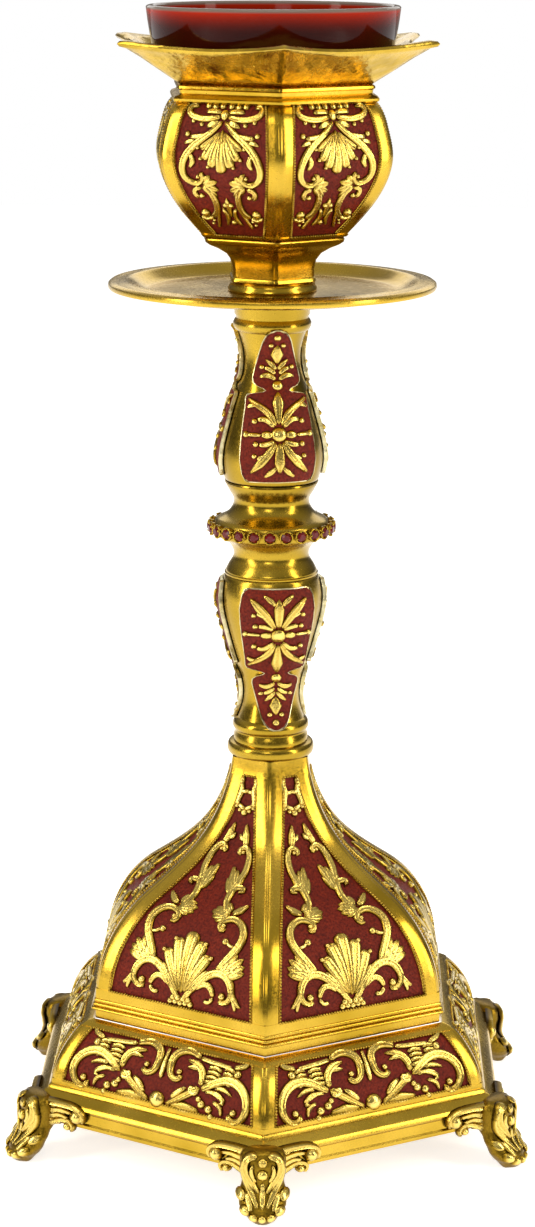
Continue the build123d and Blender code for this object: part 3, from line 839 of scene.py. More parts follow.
def makeDome():
    shape = Shape()
    low, high = dome["sillTop"], dome["headBottom"]
    cornerBars(shape, domeTier, dome, domeTier.up(dome["barLow"]), domeTier.up(dome["barHigh"]), 60)
    hexWall(shape, bandOutline(domeTier, dome["low"], low, 0.1, -dome["wall"], 9), 1.0)
    hexWall(shape, bandOutline(domeTier, high, dome["high"], 0.0, -dome["wall"], 10), 1.6)
    hexWall(shape, bandOutline(domeTier, low - 1, high + 1, -dome["backing"], -dome["wall"], 44), 1.0)
    addPiece("domeFrame", shape, polishedGilt, ["dome_shell"])
    shape = Shape()
    panelPlates(shape, domeTier, dome, 56)
    addPiece("domeEnamel", shape, brickEnamel, numbered("dome_enamel"))
    makeBeads("domeBeads", beadTree, domeTier, dome)


reeds = {"tops": (50.7, 49.4, 48.1), "height": 1.25, "out": (0.55, 0.95, 1.45)}


def makeReeds():
    foot = dome["foot"] * faceRatio
    outline = [(foot + 0.02, reeds["tops"][0])]
    for top, out in zip(reeds["tops"], reeds["out"]):
        for k in range(7):
            bend = math.pi * k / 6
            drop = reeds["height"] * (1 - math.cos(bend)) / 2
            outline.append((foot + out * (0.35 + 0.65 * math.sin(bend)), top - drop))
    outline.append((foot + 0.5, reeds["tops"][2] - 1.5))
    outline.append((foot + 0.02, reeds["tops"][2] - 1.6))
    shape = Shape()
    hexWall(shape, outline, 1.0)
    addPiece("reededBand", shape, polishedGilt, ["reeded_band"], sharp=50)


makePlinth()
makeSkirt()
makeDome()
makeReeds()
print("base built")


# Ornament of the dome, the skirt and the bowl, half of each drawn and mirrored

def domeMotif():
    m = Shape()
    for u, v in ((0, 1.3), (1.9, 1.5), (3.8, 1.4), (1.0, 2.8), (2.9, 2.8)):
        knob(m, u, v, 1.15, 1.15)
    stroke(m, [(0.9, 2.6), (2.4, 4.6), (4.6, 6.6)], [0.7, 1.0, 0.5], 1.2, 0.3)
    stroke(m, [(0, 4.5), (0, 11), (0, 18), (0, 25.4)], [0.5, 1.1, 2.0, 2.5], 1.5, 0.4, mirrored=False)
    for tip, middle, wide, ball in (((4.7, 22.6), (2.7, 14.5), 2.0, 0.9),
                                    ((7.9, 18.4), (4.6, 12.2), 1.75, 0.9),
                                    ((9.4, 13.2), (5.8, 9.4), 1.4, 0.85)):
        stroke(m, [(0.9, 5), middle, tip], [0.4, wide * 0.7, wide, wide], 1.35, 0.4)
        knob(m, tip[0] + 1.0, tip[1] - 0.9, ball, 1.45)
    stroke(m, [(3, 5.3), (7, 10), (10, 12.5), (13, 13.4), (16, 12.5), (18, 10), (18.6, 7.2), (17.4, 4.9),
               (15.5, 4.3), (14.2, 5.4)], [0.8, 1.1, 1.2, 1.3, 1.3, 1.25, 1.2, 1.0, 0.9, 0.9], 1.3, 0.35)
    knob(m, 15.3, 6.3, 1.35, 1.5)
    stroke(m, [(18.4, 8.4), (20, 5.8), (22.6, 3.8)], [0.9, 1.0, 0.4], 1.1, 0.3)
    stroke(m, [(19.2, 6.8), (20.4, 3.8), (20.6, 2.2)], [0.6, 0.7, 0.3], 1.0, 0.2)
    stroke(m, [(5.2, 6.6), (7.4, 8.6), (9.3, 9), (11.2, 7.6), (12, 5.2)], [0.6, 0.9, 1.0, 0.9, 0.6], 1.1, 0.3)
    stroke(m, [(12, 5.4), (10.4, 3.4), (8.6, 3.8)], [0.6, 0.7, 0.7], 1.0)
    fan(m, (14.2, 12.8), [(22.0, 15.0), (21.6, 17.2), (20.4, 19.6), (17.8, 21.0)], [0.7, 1.35, 1.1, 0.4],
        1.15, 0.4)
    fan(m, (13.6, 13.0), [(18.2, 15.4), (17.2, 17.2), (15.8, 18.4)], [0.6, 1.1, 0.9, 0.4], 1.35, 0.3)
    stroke(m, [(12, 13.6), (14.5, 18), (17.2, 23), (17.6, 27), (15.6, 30.5), (12, 32), (9.2, 31),
               (8.0, 29), (9.2, 27.4), (10.6, 28.2)],
           [1.1, 1.25, 1.35, 1.35, 1.3, 1.2, 1.1, 1.0, 0.9, 0.8], 1.35, 0.35)
    knob(m, 9.5, 29.0, 0.9, 1.4)
    knob(m, 12.0, 24.0, 1.25, 1.2)
    stroke(m, [(15.9, 22.6), (13.8, 23.0), (12.6, 24.0)], [0.5, 0.6, 0.5], 1.0)
    fan(m, (9.8, 33.2), [(2.6, 33.6), (3.4, 31.6), (5.2, 30.2), (3.6, 35.4)], [0.6, 1.3, 1.0, 0.35], 1.2, 0.4)
    fan(m, (9.2, 33.8), [(5.6, 37.2), (7.4, 38.0)], [0.6, 1.1, 0.9, 0.4], 1.15, 0.3)
    stroke(m, [(10.3, 33.6), (12.6, 35.4), (14.8, 38.4)], [0.9, 1.2, 0.3], 1.2, 0.3)
    stroke(m, [(8.4, 33.4), (6.4, 37.5), (6.2, 41), (7.2, 43.6), (9.2, 43.9)], [0.9, 1.05, 1.1, 1.0, 0.9],
           1.3, 0.35, curl=(-1, 0.9))
    fan(m, (6.2, 40.6), [(2.6, 47.2), (2.8, 51.4), (4.8, 50.4), (7.6, 51.0)], [0.6, 1.15, 0.95, 0.35],
        1.2, 0.35)
    stroke(m, [(6.3, 43.8), (7.6, 49), (7.4, 53), (6.4, 56.4), (4.4, 58.2), (2.8, 57), (3.4, 55.3)],
           [0.9, 1.0, 1.05, 1.05, 0.95, 0.9, 0.8], 1.3, 0.3)
    knob(m, 4.2, 56.4, 0.8, 1.3)
    stroke(m, [(4.4, 58.4), (3.2, 61.5), (2.2, 66.2)], [0.9, 1.2, 0.25], 1.25, 0.35)
    stroke(m, [(3.2, 60.6), (1.8, 61.0), (1.0, 62.8)], [0.6, 0.7, 0.25], 1.1, 0.2)
    knob(m, 0, 69.6, 1.3, 1.3)
    for u, v in ((1.8, 70.2), (3.2, 71.4)):
        knob(m, u, v, 0.85, 1.1)
    stroke(m, [(3.2, 71.4), (2.9, 74.4), (2.3, 76.8), (2.7, 79.4), (1.9, 81.4)],
           [0.8, 0.8, 1.0, 0.8, 0.7], 1.2, 0.2)
    stroke(m, [(0, 76.6), (1.2, 76.4), (2.4, 76.8)], [0.8, 0.7, 0.7], 1.15)
    stroke(m, [(0, 70.6), (1.4, 71.4), (2.8, 72.2)], [0.8, 0.7, 0.6], 1.1)
    knob(m, 0, 76.6, 0.9, 1.4)
    return m


def skirtMotif():
    m = Shape()
    knob(m, 0, 2.5, 3.0, 1.5)
    stroke(m, [(4.6, 1.7), (10.5, 2.0), (16.0, 1.7)], [0.6, 1.7, 0.7], 1.1, 0.5)
    for u, v, r in ((16.5, 4.4, 1.5), (19.4, 3.3, 1.5), (20.4, 1.1, 1.2), (15.3, 5.9, 1.1)):
        knob(m, u, v, r, 1.2)
    stroke(m, [(3.2, 1.6), (9, 5.2), (15, 9.4)], [0.7, 1.1, 1.2], 1.2, 0.45)
    stroke(m, [(5, 4), (7.4, 6.6), (10.2, 8.6)], [0.5, 1.0, 0.5], 1.15, 0.2)
    stroke(m, [(14.6, 8.6), (13.6, 7.2), (12.2, 7.4)], [0.7, 0.7, 0.7], 1.1, curl=(-1, 1.1))
    stroke(m, [(15, 10), (14.6, 14), (11.8, 16.6), (7.6, 17.4)], [0.9, 1.2, 1.2, 0.35], 1.2, 0.4)
    stroke(m, [(13.6, 15.2), (10.4, 15.4), (8.4, 14.8)], [0.6, 0.8, 0.3], 1.1, 0.3)
    stroke(m, [(12.2, 19), (7, 20.6), (3.2, 18.6), (2.4, 14.6), (3.5, 11.4), (5.7, 10.4), (7.6, 12)],
           [0.9, 1.15, 1.25, 1.25, 1.15, 1.0, 0.9], 1.35, 0.4)
    knob(m, 6.2, 13.0, 1.1, 1.4)
    stroke(m, [(0, 9.4), (0, 11.5), (0, 15), (0, 20.4)], [0.5, 0.95, 0.6, 0.5], 1.2, 0.2, mirrored=False)
    stroke(m, [(12, 19), (16, 18.5), (20, 18.2), (24.4, 17.8)], [0.7, 0.8, 0.8, 0.6], 1.2, 0.2)
    for row, (start, end) in enumerate(((15.8, 21.3), (21.6, 25.8))):
        for k in range(4):
            v = 11.6 + 1.55 * k + 0.6 * row
            stroke(m, [(start, v), ((start + end) / 2, v + 0.5), (end, v - 0.2)], [0.5, 0.72, 0.5], 1.2, 0.3)
    knob(m, 26.8, 16.4, 1.5, 1.25)
    knob(m, 27.4, 13.8, 1.0, 1.1)
    stroke(m, [(15.5, 8.7), (20, 12), (25, 13.8), (30, 12), (32.8, 8), (32.6, 4), (30.4, 1.6),
               (27.8, 1.6), (26.6, 3.4)],
           [0.9, 1.3, 1.5, 1.5, 1.4, 1.3, 1.2, 1.0, 0.9], 1.4, 0.4)
    knob(m, 28.6, 4.1, 1.3, 1.5)
    stroke(m, [(17, 8.6), (21, 8.8), (24, 7.2)], [0.6, 0.9, 0.7], 1.15, 0.3, curl=(-1, 0.8))
    stroke(m, [(20, 10.4), (24, 10.5), (27, 9)], [0.6, 0.85, 0.35], 1.15, 0.3)
    stroke(m, [(24.6, 18), (27, 19), (29, 20.4), (28.7, 21.8)], [0.7, 0.9, 0.8, 0.5], 1.15, 0.2)
    stroke(m, [(20.4, 6.2), (23.6, 4.6), (24.4, 1.8)], [0.5, 0.8, 0.3], 1.1, 0.3)
    return m


def bowlMotif():
    m = Shape()
    for u, v in ((1.5, 43.4), (4, 43.2), (6.4, 43.5)):
        knob(m, u, v, 1.25, 0.85)
    stroke(m, [(0, 42.2), (0, 40.2), (0, 38.3)], [0.6, 1.4, 0.6], 1.1, 0.2, mirrored=False)
    stroke(m, [(1, 40.8), (4, 41.4), (6.7, 41)], [0.5, 0.9, 0.6], 0.9, 0.2)
    stroke(m, [(1, 39.6), (5, 38.8), (9, 39), (12.4, 41.3), (11.8, 43), (9.4, 42.8)],
           [0.6, 0.85, 0.95, 0.95, 0.85, 0.6], 1.05, 0.35)
    stroke(m, [(1.4, 38), (3.6, 37.2), (5.8, 36.2)], [0.5, 1.0, 0.4], 0.95, 0.3)
    for u, v in ((7.5, 37.0), (10.5, 38.0)):
        knob(m, u, v, 0.8, 0.85)
    stroke(m, [(0.3, 38.3), (4, 34.5), (8, 31.5), (11.5, 28), (13.4, 24), (12.9, 20.5), (10.2, 18.5),
               (7.6, 18.9), (6.6, 20.8), (8, 22)], [0.6, 0.85, 1.0, 1.1, 1.15, 1.1, 1.0, 0.9, 0.8, 0.7],
               1.15, 0.35)
    knob(m, 8.3, 20.6, 0.8, 1.1)
    stroke(m, [(5, 34), (8, 33.2), (11.2, 33.1)], [0.5, 0.8, 0.6], 0.95, 0.2)
    knob(m, 12.0, 33.9, 1.0, 1.0)
    stroke(m, [(9, 31.8), (11, 31.6), (12.9, 30.8)], [0.5, 0.75, 0.3], 0.9, 0.2)
    stroke(m, [(10.6, 28), (9.8, 25.4), (11, 23.2)], [0.5, 0.9, 0.35], 0.95, 0.3)
    stroke(m, [(0, 35.6), (0, 30.5), (0, 26), (0, 21.6)], [0.4, 0.9, 1.5, 1.7], 1.25, 0.4, mirrored=False)
    for tip, middle, wide, ball in (((3.6, 23.4), (2.0, 29.0), 1.45, 0.7),
                                    ((6.1, 25.9), (3.4, 30.2), 1.25, 0.75),
                                    ((7.2, 29.2), (4.1, 31.6), 0.95, 0.75)):
        stroke(m, [(0.6, 34.8), middle, tip], [0.35, wide * 0.7, wide, wide], 1.15, 0.4)
        knob(m, tip[0] + 0.8, tip[1] + 0.5, ball, 1.15)
    fan(m, (7.2, 18), [(2.0, 19), (1.8, 16), (2.8, 13.6), (4.3, 21.0)], [0.5, 1.1, 0.85, 0.3], 1.0, 0.4)
    stroke(m, [(7.2, 17.8), (4.8, 15), (4, 12), (4.5, 8), (6.8, 5.7)], [0.8, 0.9, 0.95, 0.95, 0.85], 1.1,
           0.35)
    knob(m, 8.8, 7.2, 1.6, 1.2)
    stroke(m, [(6.6, 5.9), (8.8, 4.9), (10.6, 6.2)], [0.7, 0.6, 0.5], 1.0)
    stroke(m, [(7.6, 16.6), (10, 16.2), (10.2, 14.2), (8.8, 13.2)], [0.6, 0.8, 0.8, 0.6], 0.95, 0.3)
    knob(m, 8.2, 13.9, 0.95, 1.0)
    stroke(m, [(2.3, 9.6), (1.3, 6), (2.7, 2.2)], [0.45, 0.65, 0.4], 0.9, 0.2)
    knob(m, 1.0, 10.6, 0.95, 0.95)
    stroke(m, [(3.7, 9), (4.8, 5), (6, 0.9)], [0.45, 0.5, 0.45], 0.85)
    for u, v in ((6.7, 4.3), (7.4, 2.9)):
        knob(m, u, v, 0.6, 0.8)
    knob(m, 0, 3.6, 1.0, 0.9)
    stroke(m, [(0, 13.4), (0, 10.4), (0, 5.6)], [0.4, 0.8, 0.4], 0.9, 0.2, mirrored=False)
    return m


def makeOrnament(name, motif, tier, look, node):
    low, lift = tier.up(look["motifLow"]), np.array([0, 0, look["enamelTop"]])
    placers = [lambda uvh, place=place: place(uvh + lift) for place in tier.placers(low)]
    shape = motif.laid(placers)
    addPiece(name, shape, reliefGilt, [node], repair=False, sharp=60)


makeOrnament("domeOrnament", domeMotif(), domeTier, dome, "dome_filigree")
makeOrnament("skirtOrnament", skirtMotif(), skirtTier, skirt, "skirt_filigree")
print("base ornament built")


# Feet

foot = {
    "rows": [  # height, half width, front, back
        (22.2, 4.6, 88.6, 84.0), (21.4, 6.4, 90.2, 83.0), (20.0, 7.2, 91.2, 82.0), (17.5, 7.3, 91.7, 81.5),
        (15.0, 6.7, 91.7, 81.0), (12.5, 6.4, 91.7, 80.8), (10.4, 6.9, 91.9, 83.2), (8.6, 7.7, 92.8, 84.4),
        (7.0, 7.5, 94.2, 85.2), (5.2, 7.4, 95.7, 85.9), (3.4, 6.4, 96.5, 86.8), (1.8, 4.8, 96.4, 88.0),
        (0.5, 4.0, 95.4, 89.2), (0.0, 3.5, 94.8, 89.6)],
    "round": 2.6,
}


def footTable(height, column):
    rows = foot["rows"][::-1]
    return np.interp(height, [row[0] for row in rows], [row[column] for row in rows])


def footPlacer(corner):
    # across the corner, up, and out of the paw's face
    def place(uvh):
        half = np.maximum(footTable(uvh[:, 1], 1), 0.5)
        bow = foot["round"] * np.minimum(np.abs(uvh[:, 0]) / half, 1.1) ** 2.4
        out = footTable(uvh[:, 1], 2) + uvh[:, 2] - bow
        x = out * math.cos(corner) - uvh[:, 0] * math.sin(corner)
        y = out * math.sin(corner) + uvh[:, 0] * math.cos(corner)
        return np.stack([x, y, uvh[:, 1]], 1)
    return place


def wingPlacer(corner, hand):
    # along the plinth's side from the corner, up, and out of that side
    way = np.array([math.cos(corner + hand * 2 * sixth), math.sin(corner + hand * 2 * sixth)])
    out = np.array([math.cos(corner + hand * sixth / 2), math.sin(corner + hand * sixth / 2)])
    start = plinth["corner"] * np.array([math.cos(corner), math.sin(corner)])

    def place(uvh):
        flat = start + uvh[:, :1] * way + uvh[:, 2:] * out
        return np.column_stack([flat, uvh[:, 1]])
    return place


def pawMotif():
    m = Shape()
    stroke(m, [(0, 20.6), (0, 17.6)], [1.6, 1.0], 1.0, 0.3, mirrored=False)
    knob(m, 0, 15.2, 1.9, 1.3)
    stroke(m, [(0, 13), (0, 9), (0, 5.4)], [0.5, 0.9, 0.6], 0.8, 0.2, mirrored=False)
    stroke(m, [(1.6, 21.2), (4.8, 20.2), (5.8, 16.8), (3.6, 12.8), (1.0, 9.4)], [0.7, 1.0, 1.1, 1.0, 0.5],
           1.2, 0.35)
    stroke(m, [(6.6, 18), (5.6, 13.4), (3.2, 9.0), (1.4, 5.6)], [0.7, 0.9, 0.9, 0.5], 1.0, 0.3)
    stroke(m, [(3.0, 18.6), (3.6, 16.0), (1.8, 12.6)], [0.4, 0.7, 0.4], 0.9, 0.2)
    knob(m, 6.9, 8.7, 1.7, 1.2)
    stroke(m, [(5.4, 9.6), (4.2, 7.0), (3.6, 4.6)], [0.6, 0.9, 0.6], 1.0, 0.2)
    knob(m, 5.6, 4.6, 1.7, 1.0)
    knob(m, 2.9, 2.7, 1.5, 0.9)
    knob(m, 0, 2.6, 1.4, 1.1)
    return m


def wingMotif():
    m = Shape()
    stroke(m, [(0.4, 16.6), (6, 17.2), (12.5, 17.8)], [4.4, 3.4, 1.4], 1.5, mirrored=False)
    stroke(m, [(1.0, 19.9), (7, 20.5), (12.5, 20.6), (16.6, 20.0), (19.3, 17.8), (18.4, 15.2)],
           [1.0, 1.05, 1.0, 0.95, 0.9, 0.7], 2.3, 0.3, mirrored=False)
    stroke(m, [(1.2, 17.6), (7, 18.0), (12, 18.6), (15, 18.0)], [0.9, 0.95, 0.85, 0.5], 2.2, 0.2,
           mirrored=False)
    stroke(m, [(1.2, 15.2), (6, 15.6), (10.4, 16.8), (13.6, 16.0)], [0.9, 0.95, 0.8, 0.5], 2.1, 0.2,
           mirrored=False)
    knob(m, 16.7, 17.2, 2.5, 3.0, mirrored=False)
    stroke(m, [(2.4, 11.6), (6.2, 13.2), (9.4, 14.6), (13.2, 15.2), (15.3, 13.4), (13.9, 11.6)],
           [1.1, 1.1, 0.95, 0.8, 0.75, 0.6], 2.0, 0.25, mirrored=False)
    knob(m, 13.0, 13.2, 1.5, 2.2, mirrored=False)
    stroke(m, [(3.0, 13.9), (7, 14.4), (10, 13.2)], [0.8, 0.8, 0.4], 1.8, 0.2, mirrored=False)
    return m


def makeFeet():
    section = np.linspace(0, 2 * math.pi, 28, endpoint=False)
    heights = [row[0] for row in foot["rows"]]
    spans = [np.linspace(a, b, 4)[:-1] for a, b in zip(heights, heights[1:])]
    fine = np.concatenate(spans + [[heights[-1]]])
    paw, wing = pawMotif(), wingMotif()
    for number in range(6):
        corner = sixth / 2 + number * sixth
        body = []
        for z in fine:
            half, front, back = (float(footTable(z, k)) for k in (1, 2, 3))
            row = []
            for a in section:
                across = half * math.copysign(abs(math.cos(a)) ** 0.75, math.cos(a))
                bow = foot["round"] * min(abs(across) / half, 1) ** 2.4
                deep = math.copysign(abs(math.sin(a)) ** 0.75, math.sin(a))
                radial = front - bow if deep > 0 else back
                middle = (front + back) / 2
                radial = middle + (radial - middle) * abs(deep)
                row.append((
                    radial * math.cos(corner) - across * math.sin(corner),
                    radial * math.sin(corner) + across * math.cos(corner), z,
                ))
            body.append(row)
        shape = Shape()
        # the paw's body gets a fixed rise of 0.35, painted by the relief gilt as a mid shade darker than the
        # ornament's crests
        shape.solid(body, np.full((len(body), len(section)), 0.35))
        parts = [paw.laid([footPlacer(corner)])]
        parts += [wing.laid([wingPlacer(corner, hand)]) for hand in (1, -1)]
        for part in parts:
            shape.add(np.vstack(part.points), part.faces, np.concatenate(part.rise))
        addPiece(f"foot{number + 1}", shape, reliefGilt, [f"foot_{number + 1}"], sharp=60)


makeFeet()
print("feet built")


# Turned stem

stem = {
    "centre": 202.3, "half": 15.5, "collarTop": 130.3, "panBottom": 278.2, "bore": 9.0, "turn": 9.5,
    "vase": [(15.2, 0.0), (16.6, 6.5), (15.1, 17.0), (11.9, 28.5), (9.3, 42.5), (10.9, 48.6)],
    "bead": [(11.0, 48.7), (12.0, 49.2), (12.5, 50.2), (12.6, 51.4), (12.1, 52.4), (11.7, 52.9), (11.7, 53.5),
             (12.2, 54.2)],
    "knop": [(15.2, 15.5), (15.3, 15.0), (14.9, 14.7), (14.9, 14.3), (13.7, 12.0), (12.3, 9.2), (12.9, 6.6),
             (14.6, 4.5), (17.2, 3.1), (18.3, 2.4), (18.7, 1.6)],
}


def vaseProfile():
    return smooth(stem["vase"], 60)


def makeBaluster(name, start, way, end, node):
    vase = vaseProfile()
    outer = [(r, start + way * d) for r, d in vase] + [(r, start + way * d) for r, d in stem["bead"][1:]]
    outer = [(outer[0][0] - 0.5, start + way * 0.02), (outer[0][0], start + way * 0.4)] + [
        p for p in outer if way * (p[1] - start) > 0.5]
    outer.append((12.2, end))
    inner = [(stem["bore"] - 2, end), (stem["bore"] - 2, start)]
    shape = Shape()
    lathe(shape, outer + inner, 112)
    addPiece(name, shape, turnedGilt, [node])


def makeKnop():
    upper = smooth(stem["knop"][3:9], 26)
    side = stem["knop"][:3] + [tuple(p) for p in upper] + stem["knop"][9:]
    outline = [(r, stem["centre"] + z) for r, z in side]
    outline += [(r, stem["centre"] - z) for r, z in reversed(side)]
    outline += [(stem["bore"], stem["centre"] - stem["half"]), (stem["bore"], stem["centre"] + stem["half"])]
    shape = Shape()
    lathe(shape, outline, 112)
    addPiece("knop", shape, turnedGilt, ["knop"])


collar = {"low": 126.0, "middle": 128.1, "high": 130.3, "side": 13.0, "bulge": 1.35, "half": 2.1, "bore": 6.0}


def makeCollar():
    bulge = [
        (collar["side"] + collar["bulge"] * math.sin(a) ** 0.8,
         collar["middle"] - collar["half"] * math.cos(a))
        for a in np.linspace(0.001, math.pi - 0.001, 16)
    ]
    outline = [(12.4, collar["low"])] + bulge + [(12.6, collar["high"])]
    outline += [(collar["bore"], collar["high"]), (collar["bore"], collar["low"])]
    shape = Shape()
    lathe(shape, outline, 96)
    addPiece("baseCollar", shape, turnedGilt, ["base_collar"])


plaque = {
    "count": 3, "back": 0.35, "face": 1.5, "lip": 1.62, "rim": 0.4, "floor": 1.2, "enamelTop": 1.46,
    "outline": [  # distance from the vase's foot, half width
        (1.8, 9.6), (2.3, 10.6), (4.5, 11.8), (9.0, 12.6), (14.0, 12.2), (20.0, 11.3), (26.0, 10.2),
        (28.6, 9.9), (29.6, 9.2), (30.1, 7.0), (30.5, 4.4), (31.0, 3.6), (31.6, 4.2), (32.4, 6.2),
        (33.4, 7.2), (35.0, 7.3), (40.0, 5.9), (44.0, 4.9), (46.5, 4.3), (48.6, 3.4), (49.8, 2.2),
        (50.3, 0.9)],
}


def plaqueHalf(d, inset=0.0):
    table = plaque["outline"]
    low, high = table[0][0] + inset, table[-1][0] - inset
    stretched = table[0][0] + (d - low) / (high - low) * (table[-1][0] - table[0][0])
    return max(float(np.interp(stretched, [p[0] for p in table], [p[1] for p in table])) - inset, 0.15)


def stemPlacer(start, way, angle):
    vase = vaseProfile()
    tail = np.array([(12.0, 49.6), (12.4, 52.0)])
    path = np.vstack([vase, tail])

    def place(xdh):
        radius = np.interp(xdh[:, 1], path[:, 1], path[:, 0])
        turned = angle + xdh[:, 0] / np.maximum(radius, 1)
        out = radius + xdh[:, 2]
        return np.stack([out * np.cos(turned), out * np.sin(turned), start + way * xdh[:, 1]], 1)
    return place


def plaqueMotif():
    m = Shape()
    knob(m, 0, 17.5, 2.4, 1.3)
    stroke(m, [(1.8, 17.4), (3.6, 17.4), (5.4, 17.3)], [0.8, 1.1, 0.6], 1.0, 0.2)
    stroke(m, [(5.2, 17.3), (7.5, 17.3), (9.6, 17.3)], [0.5, 0.55, 0.5], 0.85)
    knob(m, 10.0, 17.3, 1.05, 1.0)
    stroke(m, [(1.4, 19.6), (4, 22.2), (6.4, 21.9)], [0.5, 0.85, 0.6], 0.95, 0.2)
    knob(m, 7.1, 21.5, 0.95, 1.0)
    stroke(m, [(0.8, 20.2), (3, 24.2), (6, 26.6), (9, 28.6)], [0.5, 0.95, 0.9, 0.4], 1.05, 0.4)
    stroke(m, [(6.2, 26.4), (7.8, 26.3), (9.2, 25.4)], [0.5, 0.65, 0.3], 0.9, 0.2)
    stroke(m, [(0, 20.6), (0, 24), (0, 27.5), (0, 30.8)], [0.5, 1.0, 1.5, 0.3], 1.1, 0.35, mirrored=False)
    knob(m, 0, 32.6, 1.6, 1.1)
    stroke(m, [(0.4, 34.2), (2.5, 35.8), (5, 35.0)], [0.5, 0.85, 0.35], 0.95, 0.3)
    stroke(m, [(0.5, 36), (2.2, 37.8), (3.6, 38.1)], [0.45, 0.7, 0.5], 0.9, 0.2)
    knob(m, 4.2, 38.3, 0.8, 0.95)
    stroke(m, [(0.2, 37.4), (1.6, 39.4), (3.2, 40.8)], [0.4, 0.7, 0.3], 0.9, 0.3)
    stroke(m, [(0, 39.2), (0, 42.6), (0, 45.4)], [0.4, 1.6, 0.4], 1.05, 0.3, mirrored=False)
    knob(m, 1.7, 45.2, 0.8, 0.9)
    knob(m, 0, 47.7, 1.1, 1.0)
    stroke(m, [(1.4, 15.6), (4, 14.4), (6.2, 14.3)], [0.5, 0.8, 0.6], 0.95, 0.2)
    knob(m, 7.0, 14.4, 0.95, 1.0)
    stroke(m, [(1, 15.2), (3.2, 11.5), (6, 8), (8.8, 4.9)], [0.6, 1.1, 1.2, 0.4], 1.1, 0.4)
    stroke(m, [(3.5, 11.4), (5.4, 10.4), (6.8, 9.6)], [0.4, 0.6, 0.5], 0.9)
    knob(m, 7.6, 10.6, 0.85, 0.95)
    stroke(m, [(0, 15), (0, 11), (0, 8), (0, 5)], [0.6, 1.2, 1.4, 0.3], 1.1, 0.4, mirrored=False)
    stroke(m, [(0.9, 7.4), (2.6, 5.4), (4.6, 3.8)], [0.4, 0.8, 0.35], 0.9, 0.3)
    return m


def makePlaques(name, start, way, node):
    motif = plaqueMotif()
    spots = [math.radians(stem["turn"] - 90 + 120 * k) for k in range(plaque["count"])]
    placers = [stemPlacer(start, way, angle) for angle in spots]
    low, high = plaque["outline"][0][0], plaque["outline"][-1][0]
    rows = sorted(set(np.linspace(low, high, 70)) | {p[0] for p in plaque["outline"]})
    for number, place in enumerate(placers):
        shape = Shape()
        sheet, rises = [], []
        for d in rows:
            w = plaqueHalf(d)
            rim = min(plaque["rim"], w * 0.3)
            half = [
                (w, plaque["back"]), (w, plaque["face"]), (w - rim * 0.2, plaque["lip"]),
                (w - rim * 0.75, plaque["lip"]), (w - rim, plaque["floor"]), (w * 0.5, plaque["floor"]),
                (0, plaque["floor"]),
            ]
            front = half + [(-x, h) for x, h in reversed(half[:-1])]
            section = front + [(-w * 0.5, plaque["back"]), (0, plaque["back"]), (w * 0.5, plaque["back"])]
            sheet.append(place(np.array([(x, d, h) for x, h in section])))
            rises.append([1.0 if h > plaque["floor"] else 0.5 for x, h in section])
        shape.solid(sheet, rises)
        addPiece(f"{name}Plaque{number + 1}", shape, paleGilt,
                 [f"{node}_plaque_{number + 1}"])
    shape, inset = Shape(), plaque["rim"] * 0.9
    for place in placers:
        sheet = []
        for d in np.linspace(low + inset, high - inset, 60):
            w = plaqueHalf(d, inset)
            across = np.linspace(w, -w, 9)
            front = [(x, d, plaque["enamelTop"]) for x in across]
            back = [(x, d, plaque["floor"] - 0.1) for x in across[::-1]]
            sheet.append(place(np.array(front + back)))
        shape.solid(sheet)
    addPiece(f"{name}PlaqueEnamel", shape, brickEnamel, [f"{node}_plaque_enamel"])
    lift = np.array([0, 0, plaque["enamelTop"] - 0.05])
    raised = motif.laid([lambda xdh, place=place: place(xdh + lift) for place in placers])
    addPiece(f"{name}PlaqueOrnament", raised, reliefGilt,
             [f"{node}_plaque_ornaments"], sharp=60)


lowerFoot, upperFoot = stem["centre"] - stem["half"], stem["centre"] + stem["half"]
makeBaluster("lowerStem", lowerFoot, -1, stem["collarTop"], "lower_stem")
makeBaluster("upperStem", upperFoot, 1, stem["panBottom"], "upper_stem")
makeKnop()
makeCollar()
makePlaques("lower", lowerFoot, -1, "lower")
makePlaques("upper", upperFoot, 1, "upper")
print("stem built")


# Ring of claw-set stones

stones = {
    "count": 24, "ring": 18.9, "cup": 2.02, "wire": 0.34, "claw": 0.42, "stone": 1.72, "proud": 1.35,
    "depth": 1.5,
}


